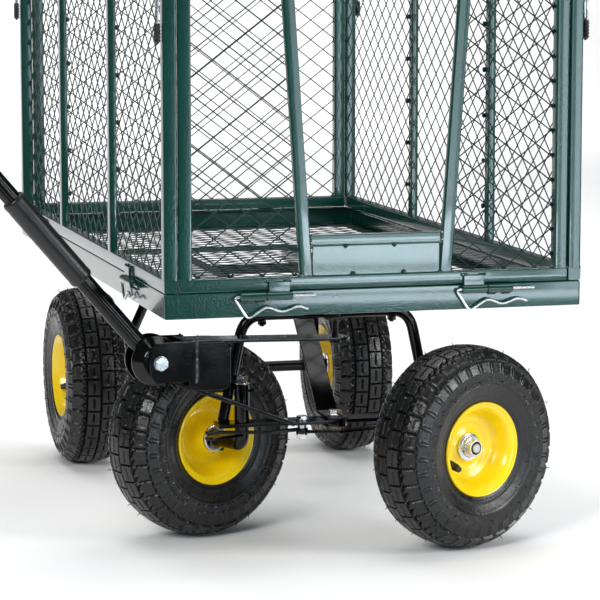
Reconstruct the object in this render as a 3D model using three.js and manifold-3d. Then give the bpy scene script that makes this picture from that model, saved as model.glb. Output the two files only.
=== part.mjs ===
// Four-wheel steel garden cart with folding mesh sides, a steered front axle and a pull handle.
// Millimetres, +Z up. The steered end faces -Y. The bed centre is at x = 0, y = 0 and the wheels
// stand on z = 0 until the last step, which moves the whole cart so that the origin is the middle
// of its footprint.
import * as THREE from 'three';
import { mergeVertices } from 'three/addons/utils/BufferGeometryUtils.js';
import Module from 'manifold-3d';

const wasm = await Module();
wasm.setup();

// ---- driving dimensions ----
const GAP = 0.3;

const BED_WIDTH = 515;
const BED_LENGTH = 970;
const RIM_TOP = 347;
const RIM_HEIGHT = 30;
const RIM_WALL = 2;
const RIM_FLANGE = 22;
const RAIL_X = 85;
const RAIL_SIZE = 20;
const RAIL_BOTTOM = 296.4;
const RAIL_FRONT = -300;
const RAIL_REAR = 230;
const STRAP_WIDTH = 50;

const PANEL_HEIGHT = 450;
const BAR = 16;
const MESH_SHEET = 1.5;
const POST_Y = 165;
const STRUT_BOTTOM_X = 86;
const STRUT_TOP_X = 114;
const STRUT_WIDTH = 15;

const HINGE_OUT = 5.5;
const HINGE_DROP = 5.5;
const KNUCKLE_RADIUS = 5;
const KNUCKLE_LENGTH = 31;
const PIN_RADIUS = 1.6;
const CLIP_LEAD = 39.5;
const END_HINGE_X = 136.5;
const SIDE_HINGE_Y = 307;

const WHEEL_RADIUS = 128;
const WHEEL_SEGMENTS = 24;
const RIM_SEGMENTS = 28;
const AXLE_RADIUS = 8;
const REAR_AXLE_Y = 319;
const REAR_WHEEL_X = 197;

const TUBE_RADIUS = 7;
const FRONT_ARCH_Y = -272;
const ARCH_TOP = 289;
const REAR_ARCH_Y = 200;

const PIVOT_Y = -308;
const BEAM_BOTTOM = 151;
const BEAM_TOP = 156;
const KINGPIN_X = 114.5;
const KINGPIN_Y = -285;
const KINGPIN_TO_WHEEL = 88;
const STEERED = THREE.MathUtils.degToRad(66.4);
const TONGUE_TURNED = THREE.MathUtils.degToRad(85);
const ARM_LENGTH = 48;
const LINK_BOLT_REACH = 44;

const CLEVIS_REACH = 239;
const CLEVIS_Z = 247;
const CLEVIS_HALF = 33;
const HANDLE_RISE = THREE.MathUtils.degToRad(49.5);
const SLEEVE_FROM = 135;
const SLEEVE_TO = 266;
const HANDLE_LENGTH = 860;

const LATCH_PIVOT_DROP = 32;
const LATCH_LENGTH = 130;

const HINGE_Z = RIM_TOP - HINGE_DROP;
const PANEL_BOTTOM = RIM_TOP + 0.4;
const PANEL_TOP = PANEL_BOTTOM + PANEL_HEIGHT;
const END_HALF = BED_WIDTH / 2 - BAR - 1.5;
const SLAT_BOTTOM = PANEL_BOTTOM + 50;
const SLAT_TOP = PANEL_BOTTOM + 64;

const ARCH_BOLT = 3;
const BRACE_TAB_Y = -112;
const UPPER_PIN = 4;
const LOWER_PIN = 5;
const STRAP_BOTTOM = BEAM_TOP + GAP;
const STRAP_TOP = STRAP_BOTTOM + 4;
const BRACE_FOOT_Z = STRAP_TOP + GAP;

const SPINDLE = 6;
const BARREL = 9;
const BARREL_TOP = 205;
const ARM_TOP = 143.4;
const ARM_BOTTOM = 139.4;
const LINK_BOLT = 4;
const ROD_THICKNESS = 3;
const ROD_BEND = 14.6;
const TIE_LOW = ARM_TOP + 2 * GAP;
const TIE_HIGH = TIE_LOW + ROD_THICKNESS + GAP;

const TONGUE_TOP = 264.6;
const STRAP_RISE = 7;
const UPPER_HALF = 18;
const BOX_FRONT = PIVOT_Y - 201;
const BOX_BACK = PIVOT_Y - 148;
const BOX_BOTTOM = 210;
const BOX_HALF = 30;
const SLANT_END = PIVOT_Y - 214;
const CHEEK_HEIGHT = 50;
const CHEEK_LEAD = 14;
const CLEVIS_BOLT = 5;
const HANDLE_DISC = 31;

const TYRE_OUTLINE = [
  [50.5, -26], [62, -34], [86, -42], [110, -41], [125, -25], [128, 0],
  [125, 25], [110, 41], [86, 42], [62, 34], [50.5, 26],
  [90, 33], [118, 0], [90, -33],
];
const RIM_OUTLINE = [
  [46, 3], [15, 6], [15, 14], [8.4, 14], [8.4, -30], [15, -30], [15, 0],
  [46, -3], [55, -36], [60.6, -36], [50, -27], [50, 27], [60.6, 36], [55, 36],
];
const VALVE_HOLE = { y: -27.6, z: -19, radius: 4 };

// ---- materials ----
function paint(colour, roughness, metalness) {
  return () => new THREE.MeshStandardMaterial({ color: colour, roughness, metalness });
}
const greenPaint = paint(0x0b4034, 0.35, 0.2);
const blackPaint = paint(0x111213, 0.3, 0.2);
const yellowPaint = paint(0xf5c80a, 0.4, 0.0);
const tyreRubber = paint(0x202022, 0.85, 0.0);
const zinc = paint(0xc4c8cc, 0.3, 0.9);
const blackPlastic = paint(0x18181a, 0.6, 0.0);

// ---- solid helpers ----
function solid(geometry) {
  const bare = geometry.clone();
  bare.deleteAttribute('normal');
  bare.deleteAttribute('uv');
  const joined = mergeVertices(bare, 1e-4);
  return new wasm.Manifold(new wasm.Mesh({
    numProp: 3,
    vertProperties: new Float32Array(joined.attributes.position.array),
    triVerts: new Uint32Array(joined.index.array),
  }));
}

function union(...pieces) {
  return pieces.reduce((sum, piece) => sum.add(piece));
}

function cut(body, ...tools) {
  return tools.reduce((rest, tool) => rest.subtract(tool), body);
}

function block(x0, x1, y0, y1, z0, z1) {
  const geometry = new THREE.BoxGeometry(x1 - x0, y1 - y0, z1 - z0);
  geometry.translate((x0 + x1) / 2, (y0 + y1) / 2, (z0 + z1) / 2);
  return solid(geometry);
}

function rod(from, to, radius, sides = 16, phase = 0) {
  const start = new THREE.Vector3(...from);
  const end = new THREE.Vector3(...to);
  const along = end.clone().sub(start);
  const geometry = new THREE.CylinderGeometry(radius, radius, along.length(), sides, 1);
  geometry.rotateY(phase);
  const turn = new THREE.Quaternion();
  turn.setFromUnitVectors(new THREE.Vector3(0, 1, 0), along.clone().normalize());
  geometry.applyQuaternion(turn);
  const middle = start.add(end).multiplyScalar(0.5);
  geometry.translate(middle.x, middle.y, middle.z);
  return solid(geometry);
}

function ring(from, to, outer, inner, sides = 16) {
  const a = new THREE.Vector3(...from);
  const b = new THREE.Vector3(...to);
  const past = b.clone().sub(a).normalize();
  const before = a.clone().sub(past).toArray();
  const after = b.clone().add(past).toArray();
  return cut(rod(from, to, outer, sides), rod(before, after, inner, sides));
}

// A flat outline in the XY plane, raised from z0 to z1.
function plate(outline, z0, z1) {
  const shape = new THREE.Shape(outline.map(([x, y]) => new THREE.Vector2(x, y)));
  const geometry = new THREE.ExtrudeGeometry(shape, { depth: z1 - z0, bevelEnabled: false });
  geometry.translate(0, 0, z0);
  return solid(geometry);
}

// A flat outline of [y, z] points, extruded along X.
function extrudedX(outline, x0, x1) {
  const shape = new THREE.Shape(outline.map(([y, z]) => new THREE.Vector2(y, z)));
  const geometry = new THREE.ExtrudeGeometry(shape, { depth: x1 - x0, bevelEnabled: false });
  geometry.rotateX(Math.PI / 2);
  geometry.rotateZ(Math.PI / 2);
  geometry.translate(x0, 0, 0);
  return solid(geometry);
}

// A slot-shaped outline: two half circles joined by straight sides.
function slotOutline(x0, y0, x1, y1, half, steps = 8) {
  const heading = Math.atan2(y1 - y0, x1 - x0);
  const points = [];
  for (let i = 0; i <= steps; i += 1) {
    const angle = heading - Math.PI / 2 + (Math.PI * i) / steps;
    points.push([x1 + half * Math.cos(angle), y1 + half * Math.sin(angle)]);
  }
  for (let i = 0; i <= steps; i += 1) {
    const angle = heading + Math.PI / 2 + (Math.PI * i) / steps;
    points.push([x0 + half * Math.cos(angle), y0 + half * Math.sin(angle)]);
  }
  return points;
}

// A bent bar: straight runs joined by round bends, swept with a round section.
class BentPath extends THREE.Curve {
  constructor(corners, bend, bendSteps) {
    super();
    const at = corners.map((corner) => new THREE.Vector3(...corner));
    this.stations = [at[0]];
    this.headings = [at[1].clone().sub(at[0]).normalize()];
    for (let i = 1; i < at.length - 1; i += 1) {
      const back = at[i - 1].clone().sub(at[i]).normalize();
      const on = at[i + 1].clone().sub(at[i]).normalize();
      const half = back.angleTo(on) / 2;
      const reach = bend / Math.tan(half);
      const inward = back.clone().add(on).normalize();
      const centre = at[i].clone().addScaledVector(inward, bend / Math.sin(half));
      const first = at[i].clone().addScaledVector(back, reach).sub(centre);
      const axis = first.clone().cross(at[i].clone().addScaledVector(on, reach).sub(centre)).normalize();
      const sweep = Math.PI - 2 * half;
      for (let k = 0; k <= bendSteps; k += 1) {
        const spoke = first.clone().applyAxisAngle(axis, (sweep * k) / bendSteps);
        this.stations.push(centre.clone().add(spoke));
        this.headings.push(axis.clone().cross(spoke).normalize());
      }
    }
    this.stations.push(at[at.length - 1]);
    this.headings.push(at[at.length - 1].clone().sub(at[at.length - 2]).normalize());
    this.steps = this.stations.length - 1;
  }

  getPoint(t, target = new THREE.Vector3()) {
    return target.copy(this.stations[Math.round(t * this.steps)]);
  }

  getPointAt(t, target) {
    return this.getPoint(t, target);
  }

  getTangentAt(t, target = new THREE.Vector3()) {
    return target.copy(this.headings[Math.round(t * this.steps)]);
  }
}

function bentBar(corners, bend, radius, sides, bendSteps) {
  const path = new BentPath(corners, bend, bendSteps);
  const shape = new THREE.Shape();
  for (let i = 0; i < sides; i += 1) {
    const angle = (2 * Math.PI * i) / sides;
    const x = radius * Math.cos(angle);
    const y = radius * Math.sin(angle);
    if (i === 0) shape.moveTo(x, y);
    else shape.lineTo(x, y);
  }
  shape.closePath();
  return solid(new THREE.ExtrudeGeometry(shape, {
    steps: path.steps,
    extrudePath: path,
    bevelEnabled: false,
  }));
}

// A [radius, offset] outline turned round the X axis. It closes on itself unless it starts on the axis.
function turned(outline, segments = WHEEL_SEGMENTS) {
  const points = outline.map(([radius, offset]) => new THREE.Vector2(radius, offset));
  if (THREE.ShapeUtils.area(points) < 0) points.reverse();
  if (points[0].x > 0) points.push(points[0].clone());
  const geometry = new THREE.LatheGeometry(points, segments);
  geometry.rotateZ(-Math.PI / 2);
  return solid(geometry);
}

function hexHead(from, to, acrossFlats, washer = 0) {
  const head = rod(from, to, acrossFlats / Math.sqrt(3), 6);
  if (!washer) return head;
  const a = new THREE.Vector3(...from);
  const toward = new THREE.Vector3(...to).sub(a).normalize();
  const under = a.clone().addScaledVector(toward, 1.6).toArray();
  return union(head, rod(from, under, washer, 16));
}

// Turn a solid by an angle about the vertical line through (x, y).
function swing(body, angle, x, y) {
  return body.translate([-x, -y, 0]).rotate([0, 0, THREE.MathUtils.radToDeg(angle)]).translate([x, y, 0]);
}

const group = new THREE.Group();
group.name = 'garden_cart';

function add(name, body, material) {
  const mesh = body.getMesh();
  const geometry = new THREE.BufferGeometry();
  geometry.setAttribute('position', new THREE.BufferAttribute(new Float32Array(mesh.vertProperties), 3));
  geometry.setIndex(new THREE.BufferAttribute(new Uint32Array(mesh.triVerts), 1));
  geometry.computeVertexNormals();
  const node = new THREE.Mesh(geometry, material());
  node.name = name;
  group.add(node);
}

// ---- hinge knuckles ----
// The knuckle of one hinge, for an outer face that looks along -Y and stands at y = face.
function knuckle(x0, x1, face, axisZ) {
  const y = face - HINGE_OUT;
  return { body: rod([x0, y, axisZ], [x1, y, axisZ], KNUCKLE_RADIUS, 12), y };
}

function rimKnuckle(x0, x1, face) {
  const { body, y } = knuckle(x0, x1, face, HINGE_Z);
  const foot = block(x0 + 3, x1 - 3, y, face + 1, HINGE_Z - 3, HINGE_Z + 3);
  return cut(union(body, foot), rod([x0 - 1, y, HINGE_Z], [x1 + 1, y, HINGE_Z], PIN_RADIUS + 0.6, 12));
}

function panelKnuckle(x0, x1, face) {
  const { body, y } = knuckle(x0, x1, face, HINGE_Z);
  const tab = block(x0 + 3, x1 - 3, face - 4, face - 1, HINGE_Z, HINGE_Z + 17);
  const foot = block(x0 + 3, x1 - 3, face - 4, face + 1, HINGE_Z + 9, HINGE_Z + 17);
  const hole = rod([x0 - 1, y, HINGE_Z], [x1 + 1, y, HINGE_Z], PIN_RADIUS + 0.6, 12);
  return cut(union(body, tab, foot), hole);
}

// Hinges sit on all four faces of the bed. Each face is laid out looking along -Y, then turned.
const FACES = [
  { name: 'front', turn: 0, face: -BED_LENGTH / 2, offset: END_HINGE_X },
  { name: 'right', turn: Math.PI / 2, face: -BED_WIDTH / 2, offset: SIDE_HINGE_Y },
  { name: 'rear', turn: Math.PI, face: -BED_LENGTH / 2, offset: END_HINGE_X },
  { name: 'left', turn: -Math.PI / 2, face: -BED_WIDTH / 2, offset: SIDE_HINGE_Y },
];

function rimKnuckles({ turn, face, offset }) {
  return [-1, 1].map((side) => {
    const outer = side * (offset + KNUCKLE_LENGTH + 0.5);
    const inner = side * (offset + 0.5);
    return swing(rimKnuckle(Math.min(outer, inner), Math.max(outer, inner), face), turn, 0, 0);
  });
}

function panelKnuckles({ turn, face, offset }) {
  return [-1, 1].map((side) => {
    const outer = side * (offset - 0.5);
    const inner = side * (offset - KNUCKLE_LENGTH - 0.5);
    return swing(panelKnuckle(Math.min(outer, inner), Math.max(outer, inner), face), turn, 0, 0);
  });
}

// A spring clip used as a hinge pin: straight leg, round end and waved leg.
function clip({ turn, face, offset }, side) {
  const x = side * offset - CLIP_LEAD;
  const y = face - HINGE_OUT;
  const z = HINGE_Z;
  const bar = bentBar([
    [x + 99, y, z],
    [x, y, z],
    [x + 17, y, z - 26],
    [x + 40, y, z - 11.5],
    [x + 58, y, z - 19],
    [x + 79, y, z - 12],
    [x + 90, y, z - 16],
  ], 2.6, PIN_RADIUS, 6, 2);
  return swing(bar, turn, 0, 0);
}

// ---- bed ----
function bedRim() {
  const halfX = BED_WIDTH / 2;
  const halfY = BED_LENGTH / 2;
  const bottom = RIM_TOP - RIM_HEIGHT;
  const wall = cut(
    block(-halfX, halfX, -halfY, halfY, bottom, RIM_TOP),
    block(-halfX + RIM_WALL, halfX - RIM_WALL, -halfY + RIM_WALL, halfY - RIM_WALL, bottom - 1, RIM_TOP + 1),
  );
  const flange = cut(
    block(-halfX + 1, halfX - 1, -halfY + 1, halfY - 1, bottom, bottom + RIM_WALL),
    block(-halfX + RIM_FLANGE, halfX - RIM_FLANGE, -halfY + RIM_FLANGE, halfY - RIM_FLANGE, 0, RIM_TOP),
  );
  const topFlange = cut(
    block(-halfX + 1, halfX - 1, -halfY + 1, halfY - 1, RIM_TOP - RIM_WALL, RIM_TOP),
    block(-halfX + BAR, halfX - BAR, -halfY + BAR, halfY - BAR, 0, RIM_TOP + 1),
  );
  const rails = [-1, 1].map((side) => {
    const x0 = side * RAIL_X - RAIL_SIZE / 2;
    return block(x0, x0 + RAIL_SIZE, RAIL_FRONT, RAIL_REAR, RAIL_BOTTOM, bottom + 1);
  });
  const straps = [RAIL_FRONT, RAIL_REAR - STRAP_WIDTH].map((y) => (
    block(-halfX + 1, halfX - 1, y, y + STRAP_WIDTH, bottom, bottom + RIM_WALL)
  ));
  const cross = block(-RAIL_X, RAIL_X, BRACE_TAB_Y - 12, BRACE_TAB_Y + 12, RAIL_BOTTOM, bottom + 1);
  const knuckles = FACES.flatMap(rimKnuckles);
  const holes = [];
  for (const side of [-1, 1]) {
    for (const y of [FRONT_ARCH_Y, REAR_ARCH_Y]) {
      holes.push(rod([side * RAIL_X, y, 290], [side * RAIL_X, y, 312], ARCH_BOLT + GAP, 12));
    }
  }
  return cut(union(wall, flange, topFlange, cross, ...straps, ...rails, ...knuckles), ...holes);
}

function bedFloor() {
  const x = BED_WIDTH / 2 - RIM_WALL - GAP;
  const y = BED_LENGTH / 2 - RIM_WALL - GAP;
  const z = RIM_TOP - RIM_HEIGHT + RIM_WALL + GAP;
  return block(-x, x, -y, y, z, z + MESH_SHEET);
}

// ---- arches under the bed ----

function archBoltHoles(y) {
  return [-1, 1].map((side) => rod([side * RAIL_X, y, 270], [side * RAIL_X, y, 300], ARCH_BOLT + GAP, 12));
}

function frontArch() {
  const foot = [136, FRONT_ARCH_Y, BEAM_TOP + GAP];
  const corner = [108, FRONT_ARCH_Y, ARCH_TOP];
  const bar = bentBar([
    [-foot[0], foot[1], foot[2]],
    [-corner[0], corner[1], corner[2]],
    corner,
    foot,
  ], 20, TUBE_RADIUS, 8, 3);
  const trimmed = cut(bar, block(-200, 200, FRONT_ARCH_Y - 20, FRONT_ARCH_Y + 20, 100, BEAM_TOP + GAP));
  const tab = plate(slotOutline(0, FRONT_ARCH_Y + 2, 0, PIVOT_Y, 12), ARCH_TOP - 4, ARCH_TOP);
  const pinHole = rod([0, PIVOT_Y, 270], [0, PIVOT_Y, 300], UPPER_PIN + GAP, 12);
  return cut(union(trimmed, tab), pinHole, ...archBoltHoles(FRONT_ARCH_Y));
}

function rearArch() {
  const top = [112, REAR_ARCH_Y, ARCH_TOP];
  const foot = [150, REAR_AXLE_Y - 4, 137];
  const bar = bentBar([
    [-foot[0], foot[1], foot[2]],
    [-top[0], top[1], top[2]],
    top,
    foot,
  ], 20, TUBE_RADIUS, 8, 3);
  const lugs = [-1, 1].map((side) => {
    const x = side * 150;
    return block(x - 9, x + 9, REAR_AXLE_Y - 13, REAR_AXLE_Y + 13, 114, 142);
  });
  const bore = rod([-200, REAR_AXLE_Y, WHEEL_RADIUS], [200, REAR_AXLE_Y, WHEEL_RADIUS], AXLE_RADIUS + GAP, 16);
  return cut(union(bar, ...lugs), bore, ...archBoltHoles(REAR_ARCH_Y));
}

function archBolt(side, y) {
  const x = side * RAIL_X;
  const nutTop = ARCH_TOP - TUBE_RADIUS - GAP;
  return union(
    rod([x, y, nutTop - 7], [x, y, 310], ARCH_BOLT, 8),
    hexHead([x, y, nutTop], [x, y, nutTop - 5], 10),
  );
}

// Flat bar from the lower pivot up and back to the cross bar under the bed.
function centreBrace() {
  const half = 13;
  const low = BRACE_FOOT_Z;
  const high = RAIL_BOTTOM - GAP;
  const outline = [
    [PIVOT_Y - 15, low], [-271, low], [-270, low + 1], [-128, high - 5], [-98, high - 5], [-98, high],
    [-131, high], [-274, low + 3.5], [PIVOT_Y - 15, low + 3.5],
  ];
  const hole = rod([0, PIVOT_Y, low - 2], [0, PIVOT_Y, low + 10], LOWER_PIN + GAP, 12);
  return cut(extrudedX(outline, -half, half), hole);
}

// ---- front axle ----

function frontBeam() {
  const bar = block(-146, 146, -296, -264, BEAM_BOTTOM, BEAM_TOP);
  const tab = plate(slotOutline(0, -285, 0, PIVOT_Y, 15), BEAM_BOTTOM, BEAM_TOP);
  const holes = [-1, 1].map((side) => {
    const x = side * KINGPIN_X;
    return rod([x, KINGPIN_Y, 140], [x, KINGPIN_Y, 170], SPINDLE + GAP, 16);
  });
  return cut(union(bar, tab), ...holes, rod([0, PIVOT_Y, 140], [0, PIVOT_Y, 170], LOWER_PIN + GAP, 12));
}

function barrel(side) {
  const x = side * KINGPIN_X;
  return ring([x, KINGPIN_Y, BEAM_TOP + GAP], [x, KINGPIN_Y, BARREL_TOP], BARREL, SPINDLE + GAP, 16);
}

function kingpinNut(side) {
  const x = side * KINGPIN_X;
  const z = BARREL_TOP + GAP;
  const body = hexHead([x, KINGPIN_Y, z], [x, KINGPIN_Y, z + 10], 13, 8.5);
  return cut(body, rod([x, KINGPIN_Y, z - 1], [x, KINGPIN_Y, z + 12], 4 + GAP, 12));
}

// Bent stub axle: vertical spindle, elbow, wheel axle and steering arm. Drawn with the wheels straight.
function steeringKnuckle(side) {
  const x = side * KINGPIN_X;
  const tip = x + side * (KINGPIN_TO_WHEEL + 27);
  const spindle = union(
    rod([x, KINGPIN_Y, 128], [x, KINGPIN_Y, BARREL_TOP], SPINDLE, 16),
    rod([x, KINGPIN_Y, 200], [x, KINGPIN_Y, BARREL_TOP + 13], 4, 12),
  );
  const elbow = bentBar([
    [x, KINGPIN_Y, ARM_TOP],
    [x, KINGPIN_Y, WHEEL_RADIUS],
    [x + side * 40, KINGPIN_Y, WHEEL_RADIUS],
  ], 10, 8.5, 10, 3);
  const axle = rod([x + side * 20, KINGPIN_Y, WHEEL_RADIUS], [tip, KINGPIN_Y, WHEEL_RADIUS], AXLE_RADIUS, 16);
  const arm = plate(slotOutline(x, KINGPIN_Y, x, KINGPIN_Y - ARM_LENGTH, 8), ARM_BOTTOM, ARM_TOP);
  const hole = rod([x, KINGPIN_Y - ARM_LENGTH, 120], [x, KINGPIN_Y - ARM_LENGTH, 160], 4, 12);
  return swing(cut(union(spindle, elbow, axle, arm), hole), -STEERED, x, KINGPIN_Y);
}

// ---- steering links ----

function tongueTurn(body) {
  return swing(body, -TONGUE_TURNED, 0, PIVOT_Y);
}

function linkBoltAt() {
  return [-LINK_BOLT_REACH * Math.sin(TONGUE_TURNED), PIVOT_Y - LINK_BOLT_REACH * Math.cos(TONGUE_TURNED)];
}

function armTipAt(side) {
  return [
    side * KINGPIN_X - ARM_LENGTH * Math.sin(STEERED),
    KINGPIN_Y - ARM_LENGTH * Math.cos(STEERED),
  ];
}

// Flat steering rod, bent to pass in front of the nut of the lower pivot bolt.
function tieRod(side, level) {
  const eye = 7.5;
  const half = 5;
  const start = linkBoltAt();
  const end = armTipAt(side);
  const bend = [start[0] + side * LINK_BOLT_REACH, PIVOT_Y - ROD_BEND];
  const top = level + ROD_THICKNESS;
  const legs = [start, end].map((at) => plate(slotOutline(...at, ...bend, half, 5), level, top));
  const eyes = [start, end].map(([x, y]) => rod([x, y, level], [x, y, top], eye, 14));
  const holes = [start, end].map(([x, y]) => rod([x, y, level - 2], [x, y, top + 2], LINK_BOLT + GAP, 12));
  return cut(union(...legs, ...eyes), ...holes);
}

function pivotBolt() {
  const top = BRACE_FOOT_Z + 3.5 + GAP;
  const under = BEAM_BOTTOM - GAP;
  return union(
    rod([0, PIVOT_Y, under - 8], [0, PIVOT_Y, top + 3], LOWER_PIN, 12),
    hexHead([0, PIVOT_Y, top], [0, PIVOT_Y, top + 6], 15, 10),
    hexHead([0, PIVOT_Y, under], [0, PIVOT_Y, under - 6.5], 13),
  );
}

function pivotPin() {
  return union(
    rod([0, PIVOT_Y, 256], [0, PIVOT_Y, ARCH_TOP + 2], UPPER_PIN, 12),
    rod([0, PIVOT_Y, TONGUE_TOP - 8], [0, PIVOT_Y, TONGUE_TOP - 5], 7, 12),
    rod([0, PIVOT_Y, ARCH_TOP + GAP], [0, PIVOT_Y, ARCH_TOP + 4], 7, 12),
  );
}

function linkBolt() {
  const at = (z) => [0, PIVOT_Y - LINK_BOLT_REACH, z];
  const under = ARM_TOP + GAP;
  return tongueTurn(union(
    rod(at(under - 7), at(STRAP_TOP + 3), LINK_BOLT, 12),
    rod(at(TIE_HIGH + ROD_THICKNESS + GAP), at(STRAP_BOTTOM - GAP), 6, 12),
    hexHead(at(STRAP_TOP + GAP), at(STRAP_TOP + 5.5), 13, 8),
    hexHead(at(under), at(under - 6), 13, 8),
  ));
}

// ---- drawbar ----

// One cheek of the clevis, seen from its side: a plate with a rounded front end.
function cheekOutline() {
  const front = PIVOT_Y - CLEVIS_REACH - CHEEK_LEAD;
  const half = CHEEK_HEIGHT / 2;
  const bulge = [[9, 1], [4, 0.78], [1, 0.4], [0, 0], [1, -0.4], [4, -0.78], [9, -1]];
  return [
    [BOX_FRONT + 8, CLEVIS_Z - half],
    [BOX_FRONT + 8, CLEVIS_Z + half],
    ...bulge.map(([back, share]) => [front + back, CLEVIS_Z + share * half]),
  ];
}

// Drawn pointing straight ahead (-Y), then turned hard to the left.
function drawbar() {
  const slope = STRAP_RISE / (PIVOT_Y - BOX_FRONT);
  const rise = (y) => TONGUE_TOP + (PIVOT_Y - y) * slope;
  const back = PIVOT_Y + UPPER_HALF;
  const band = extrudedX([
    [back, rise(back) - 4], [back, rise(back)], [BOX_FRONT, rise(BOX_FRONT)], [BOX_FRONT, rise(BOX_FRONT) - 4],
  ], -UPPER_HALF, UPPER_HALF);
  const rounding = plate(slotOutline(0, PIVOT_Y, 0, BOX_FRONT - 30, UPPER_HALF), TONGUE_TOP - 20, TONGUE_TOP + 30);
  const upper = band.intersect(rounding);
  const lowerFlat = plate(slotOutline(0, PIVOT_Y, 0, PIVOT_Y - 50, 15), STRAP_BOTTOM, STRAP_TOP);
  const slant = extrudedX([
    [PIVOT_Y - 55, STRAP_BOTTOM], [PIVOT_Y - 55, STRAP_TOP], [PIVOT_Y - 61, STRAP_TOP],
    [SLANT_END, 221.2], [SLANT_END, 217], [PIVOT_Y - 62, STRAP_BOTTOM],
  ], -15, 15);
  const roof = rise(BOX_FRONT) - 1;
  const box = cut(
    block(-BOX_HALF, BOX_HALF, BOX_FRONT, BOX_BACK, BOX_BOTTOM, roof),
    block(-BOX_HALF + 4, BOX_HALF - 4, BOX_FRONT + 4, BOX_BACK + 5, BOX_BOTTOM + 4, roof - 5),
  );
  const cheeks = [-1, 1].map((side) => {
    const x0 = Math.min(side * CLEVIS_HALF, side * (CLEVIS_HALF - 4));
    return extrudedX(cheekOutline(), x0, x0 + 4);
  });
  const half = CHEEK_HEIGHT / 2;
  const web = block(-CLEVIS_HALF, CLEVIS_HALF, BOX_FRONT - 4, BOX_FRONT + 1, CLEVIS_Z - half, CLEVIS_Z + half);
  const clevisBore = rod(
    [-60, PIVOT_Y - CLEVIS_REACH, CLEVIS_Z],
    [60, PIVOT_Y - CLEVIS_REACH, CLEVIS_Z],
    CLEVIS_BOLT + GAP,
    12,
  );
  const pivotHole = rod([0, PIVOT_Y, 240], [0, PIVOT_Y, 280], UPPER_PIN + GAP, 12);
  const boltHole = rod([0, PIVOT_Y, 140], [0, PIVOT_Y, 180], LOWER_PIN + GAP, 12);
  const linkAt = PIVOT_Y - LINK_BOLT_REACH;
  const linkHole = rod([0, linkAt, 140], [0, linkAt, 180], LINK_BOLT + GAP, 12);
  const body = union(upper, lowerFlat, slant, box, web, ...cheeks);
  return tongueTurn(cut(body, clevisBore, pivotHole, boltHole, linkHole));
}

// ---- handle ----

function clevisBolt() {
  const y = PIVOT_Y - CLEVIS_REACH;
  const face = CLEVIS_HALF + GAP;
  return tongueTurn(union(
    rod([-face - 9, y, CLEVIS_Z], [face + 3, y, CLEVIS_Z], CLEVIS_BOLT, 12),
    hexHead([face, y, CLEVIS_Z], [face + 6.5, y, CLEVIS_Z], 15, 9),
    hexHead([-face, y, CLEVIS_Z], [-face - 7, y, CLEVIS_Z], 15, 9),
  ));
}

// A place along the handle, at a distance from the clevis bolt, with the tongue straight ahead.
function onHandle(distance, x = 0, lift = 0) {
  const c = Math.cos(HANDLE_RISE);
  const s = Math.sin(HANDLE_RISE);
  return [
    x,
    PIVOT_Y - CLEVIS_REACH - c * distance + s * lift,
    CLEVIS_Z + s * distance + c * lift,
  ];
}

// Two dished discs on a cross tube, with the socket tube that holds the handle.
function handleBase() {
  const inner = CLEVIS_HALF - 4 - GAP;
  const discs = [-1, 1].map((side) => {
    const dish = turned([
      [0, side * (inner - 5)],
      [18, side * (inner - 5)],
      [HANDLE_DISC - 3, side * (inner - 14)],
      [HANDLE_DISC, side * (inner - 14)],
      [20, side * inner],
      [0, side * inner],
    ], 18);
    return dish.translate([0, PIVOT_Y - CLEVIS_REACH, CLEVIS_Z]);
  });
  const hub = rod(
    [-inner + 2, PIVOT_Y - CLEVIS_REACH, CLEVIS_Z],
    [inner - 2, PIVOT_Y - CLEVIS_REACH, CLEVIS_Z],
    13,
    12,
  );
  const socket = rod(onHandle(7), onHandle(SLEEVE_FROM + 30), 11, 12);
  const bore = rod(
    [-60, PIVOT_Y - CLEVIS_REACH, CLEVIS_Z],
    [60, PIVOT_Y - CLEVIS_REACH, CLEVIS_Z],
    CLEVIS_BOLT + GAP,
    12,
  );
  return tongueTurn(cut(union(...discs, hub, socket), bore));
}

function handleSleeve() {
  return tongueTurn(cut(
    rod(onHandle(SLEEVE_FROM), onHandle(SLEEVE_TO), 14.5, 16),
    rod(onHandle(SLEEVE_FROM - 5), onHandle(SLEEVE_TO + 5), 11.4, 12),
  ));
}

function handleTube() {
  return tongueTurn(ring(onHandle(SLEEVE_FROM + 30 + GAP), onHandle(HANDLE_LENGTH - 105), 11, 9.5, 12));
}

// Moulded D-shaped hand grip on the end of the tube.
function handleGrip() {
  const neck = rod(onHandle(HANDLE_LENGTH - 105 + GAP), onHandle(HANDLE_LENGTH - 78), 14, 14);
  const loop = (x, distance) => onHandle(distance, x, 0);
  const bow = bentBar([
    loop(0, HANDLE_LENGTH - 92),
    loop(-58, HANDLE_LENGTH - 50),
    loop(-58, HANDLE_LENGTH),
    loop(58, HANDLE_LENGTH),
    loop(58, HANDLE_LENGTH - 50),
    loop(0, HANDLE_LENGTH - 92),
  ], 14, 11, 8, 2);
  return tongueTurn(union(neck, bow));
}

// ---- wheels ----
function turnToSteer(body, side) {
  const x = side * KINGPIN_X;
  return swing(body, -STEERED, x, KINGPIN_Y);
}

function placeWheel(body, end, side) {
  const flipped = side > 0 ? body : body.rotate([0, 0, 180]);
  if (end === 'rear') return flipped.translate([side * REAR_WHEEL_X, REAR_AXLE_Y, WHEEL_RADIUS]);
  const x = side * (KINGPIN_X + KINGPIN_TO_WHEEL);
  return turnToSteer(flipped.translate([x, KINGPIN_Y, WHEEL_RADIUS]), side);
}

function wheelRim(end, side) {
  const { y, z, radius } = VALVE_HOLE;
  const hole = rod([-15, y, z], [15, y, z], radius, 10);
  return placeWheel(cut(turned(RIM_OUTLINE, RIM_SEGMENTS), hole), end, side);
}

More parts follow.
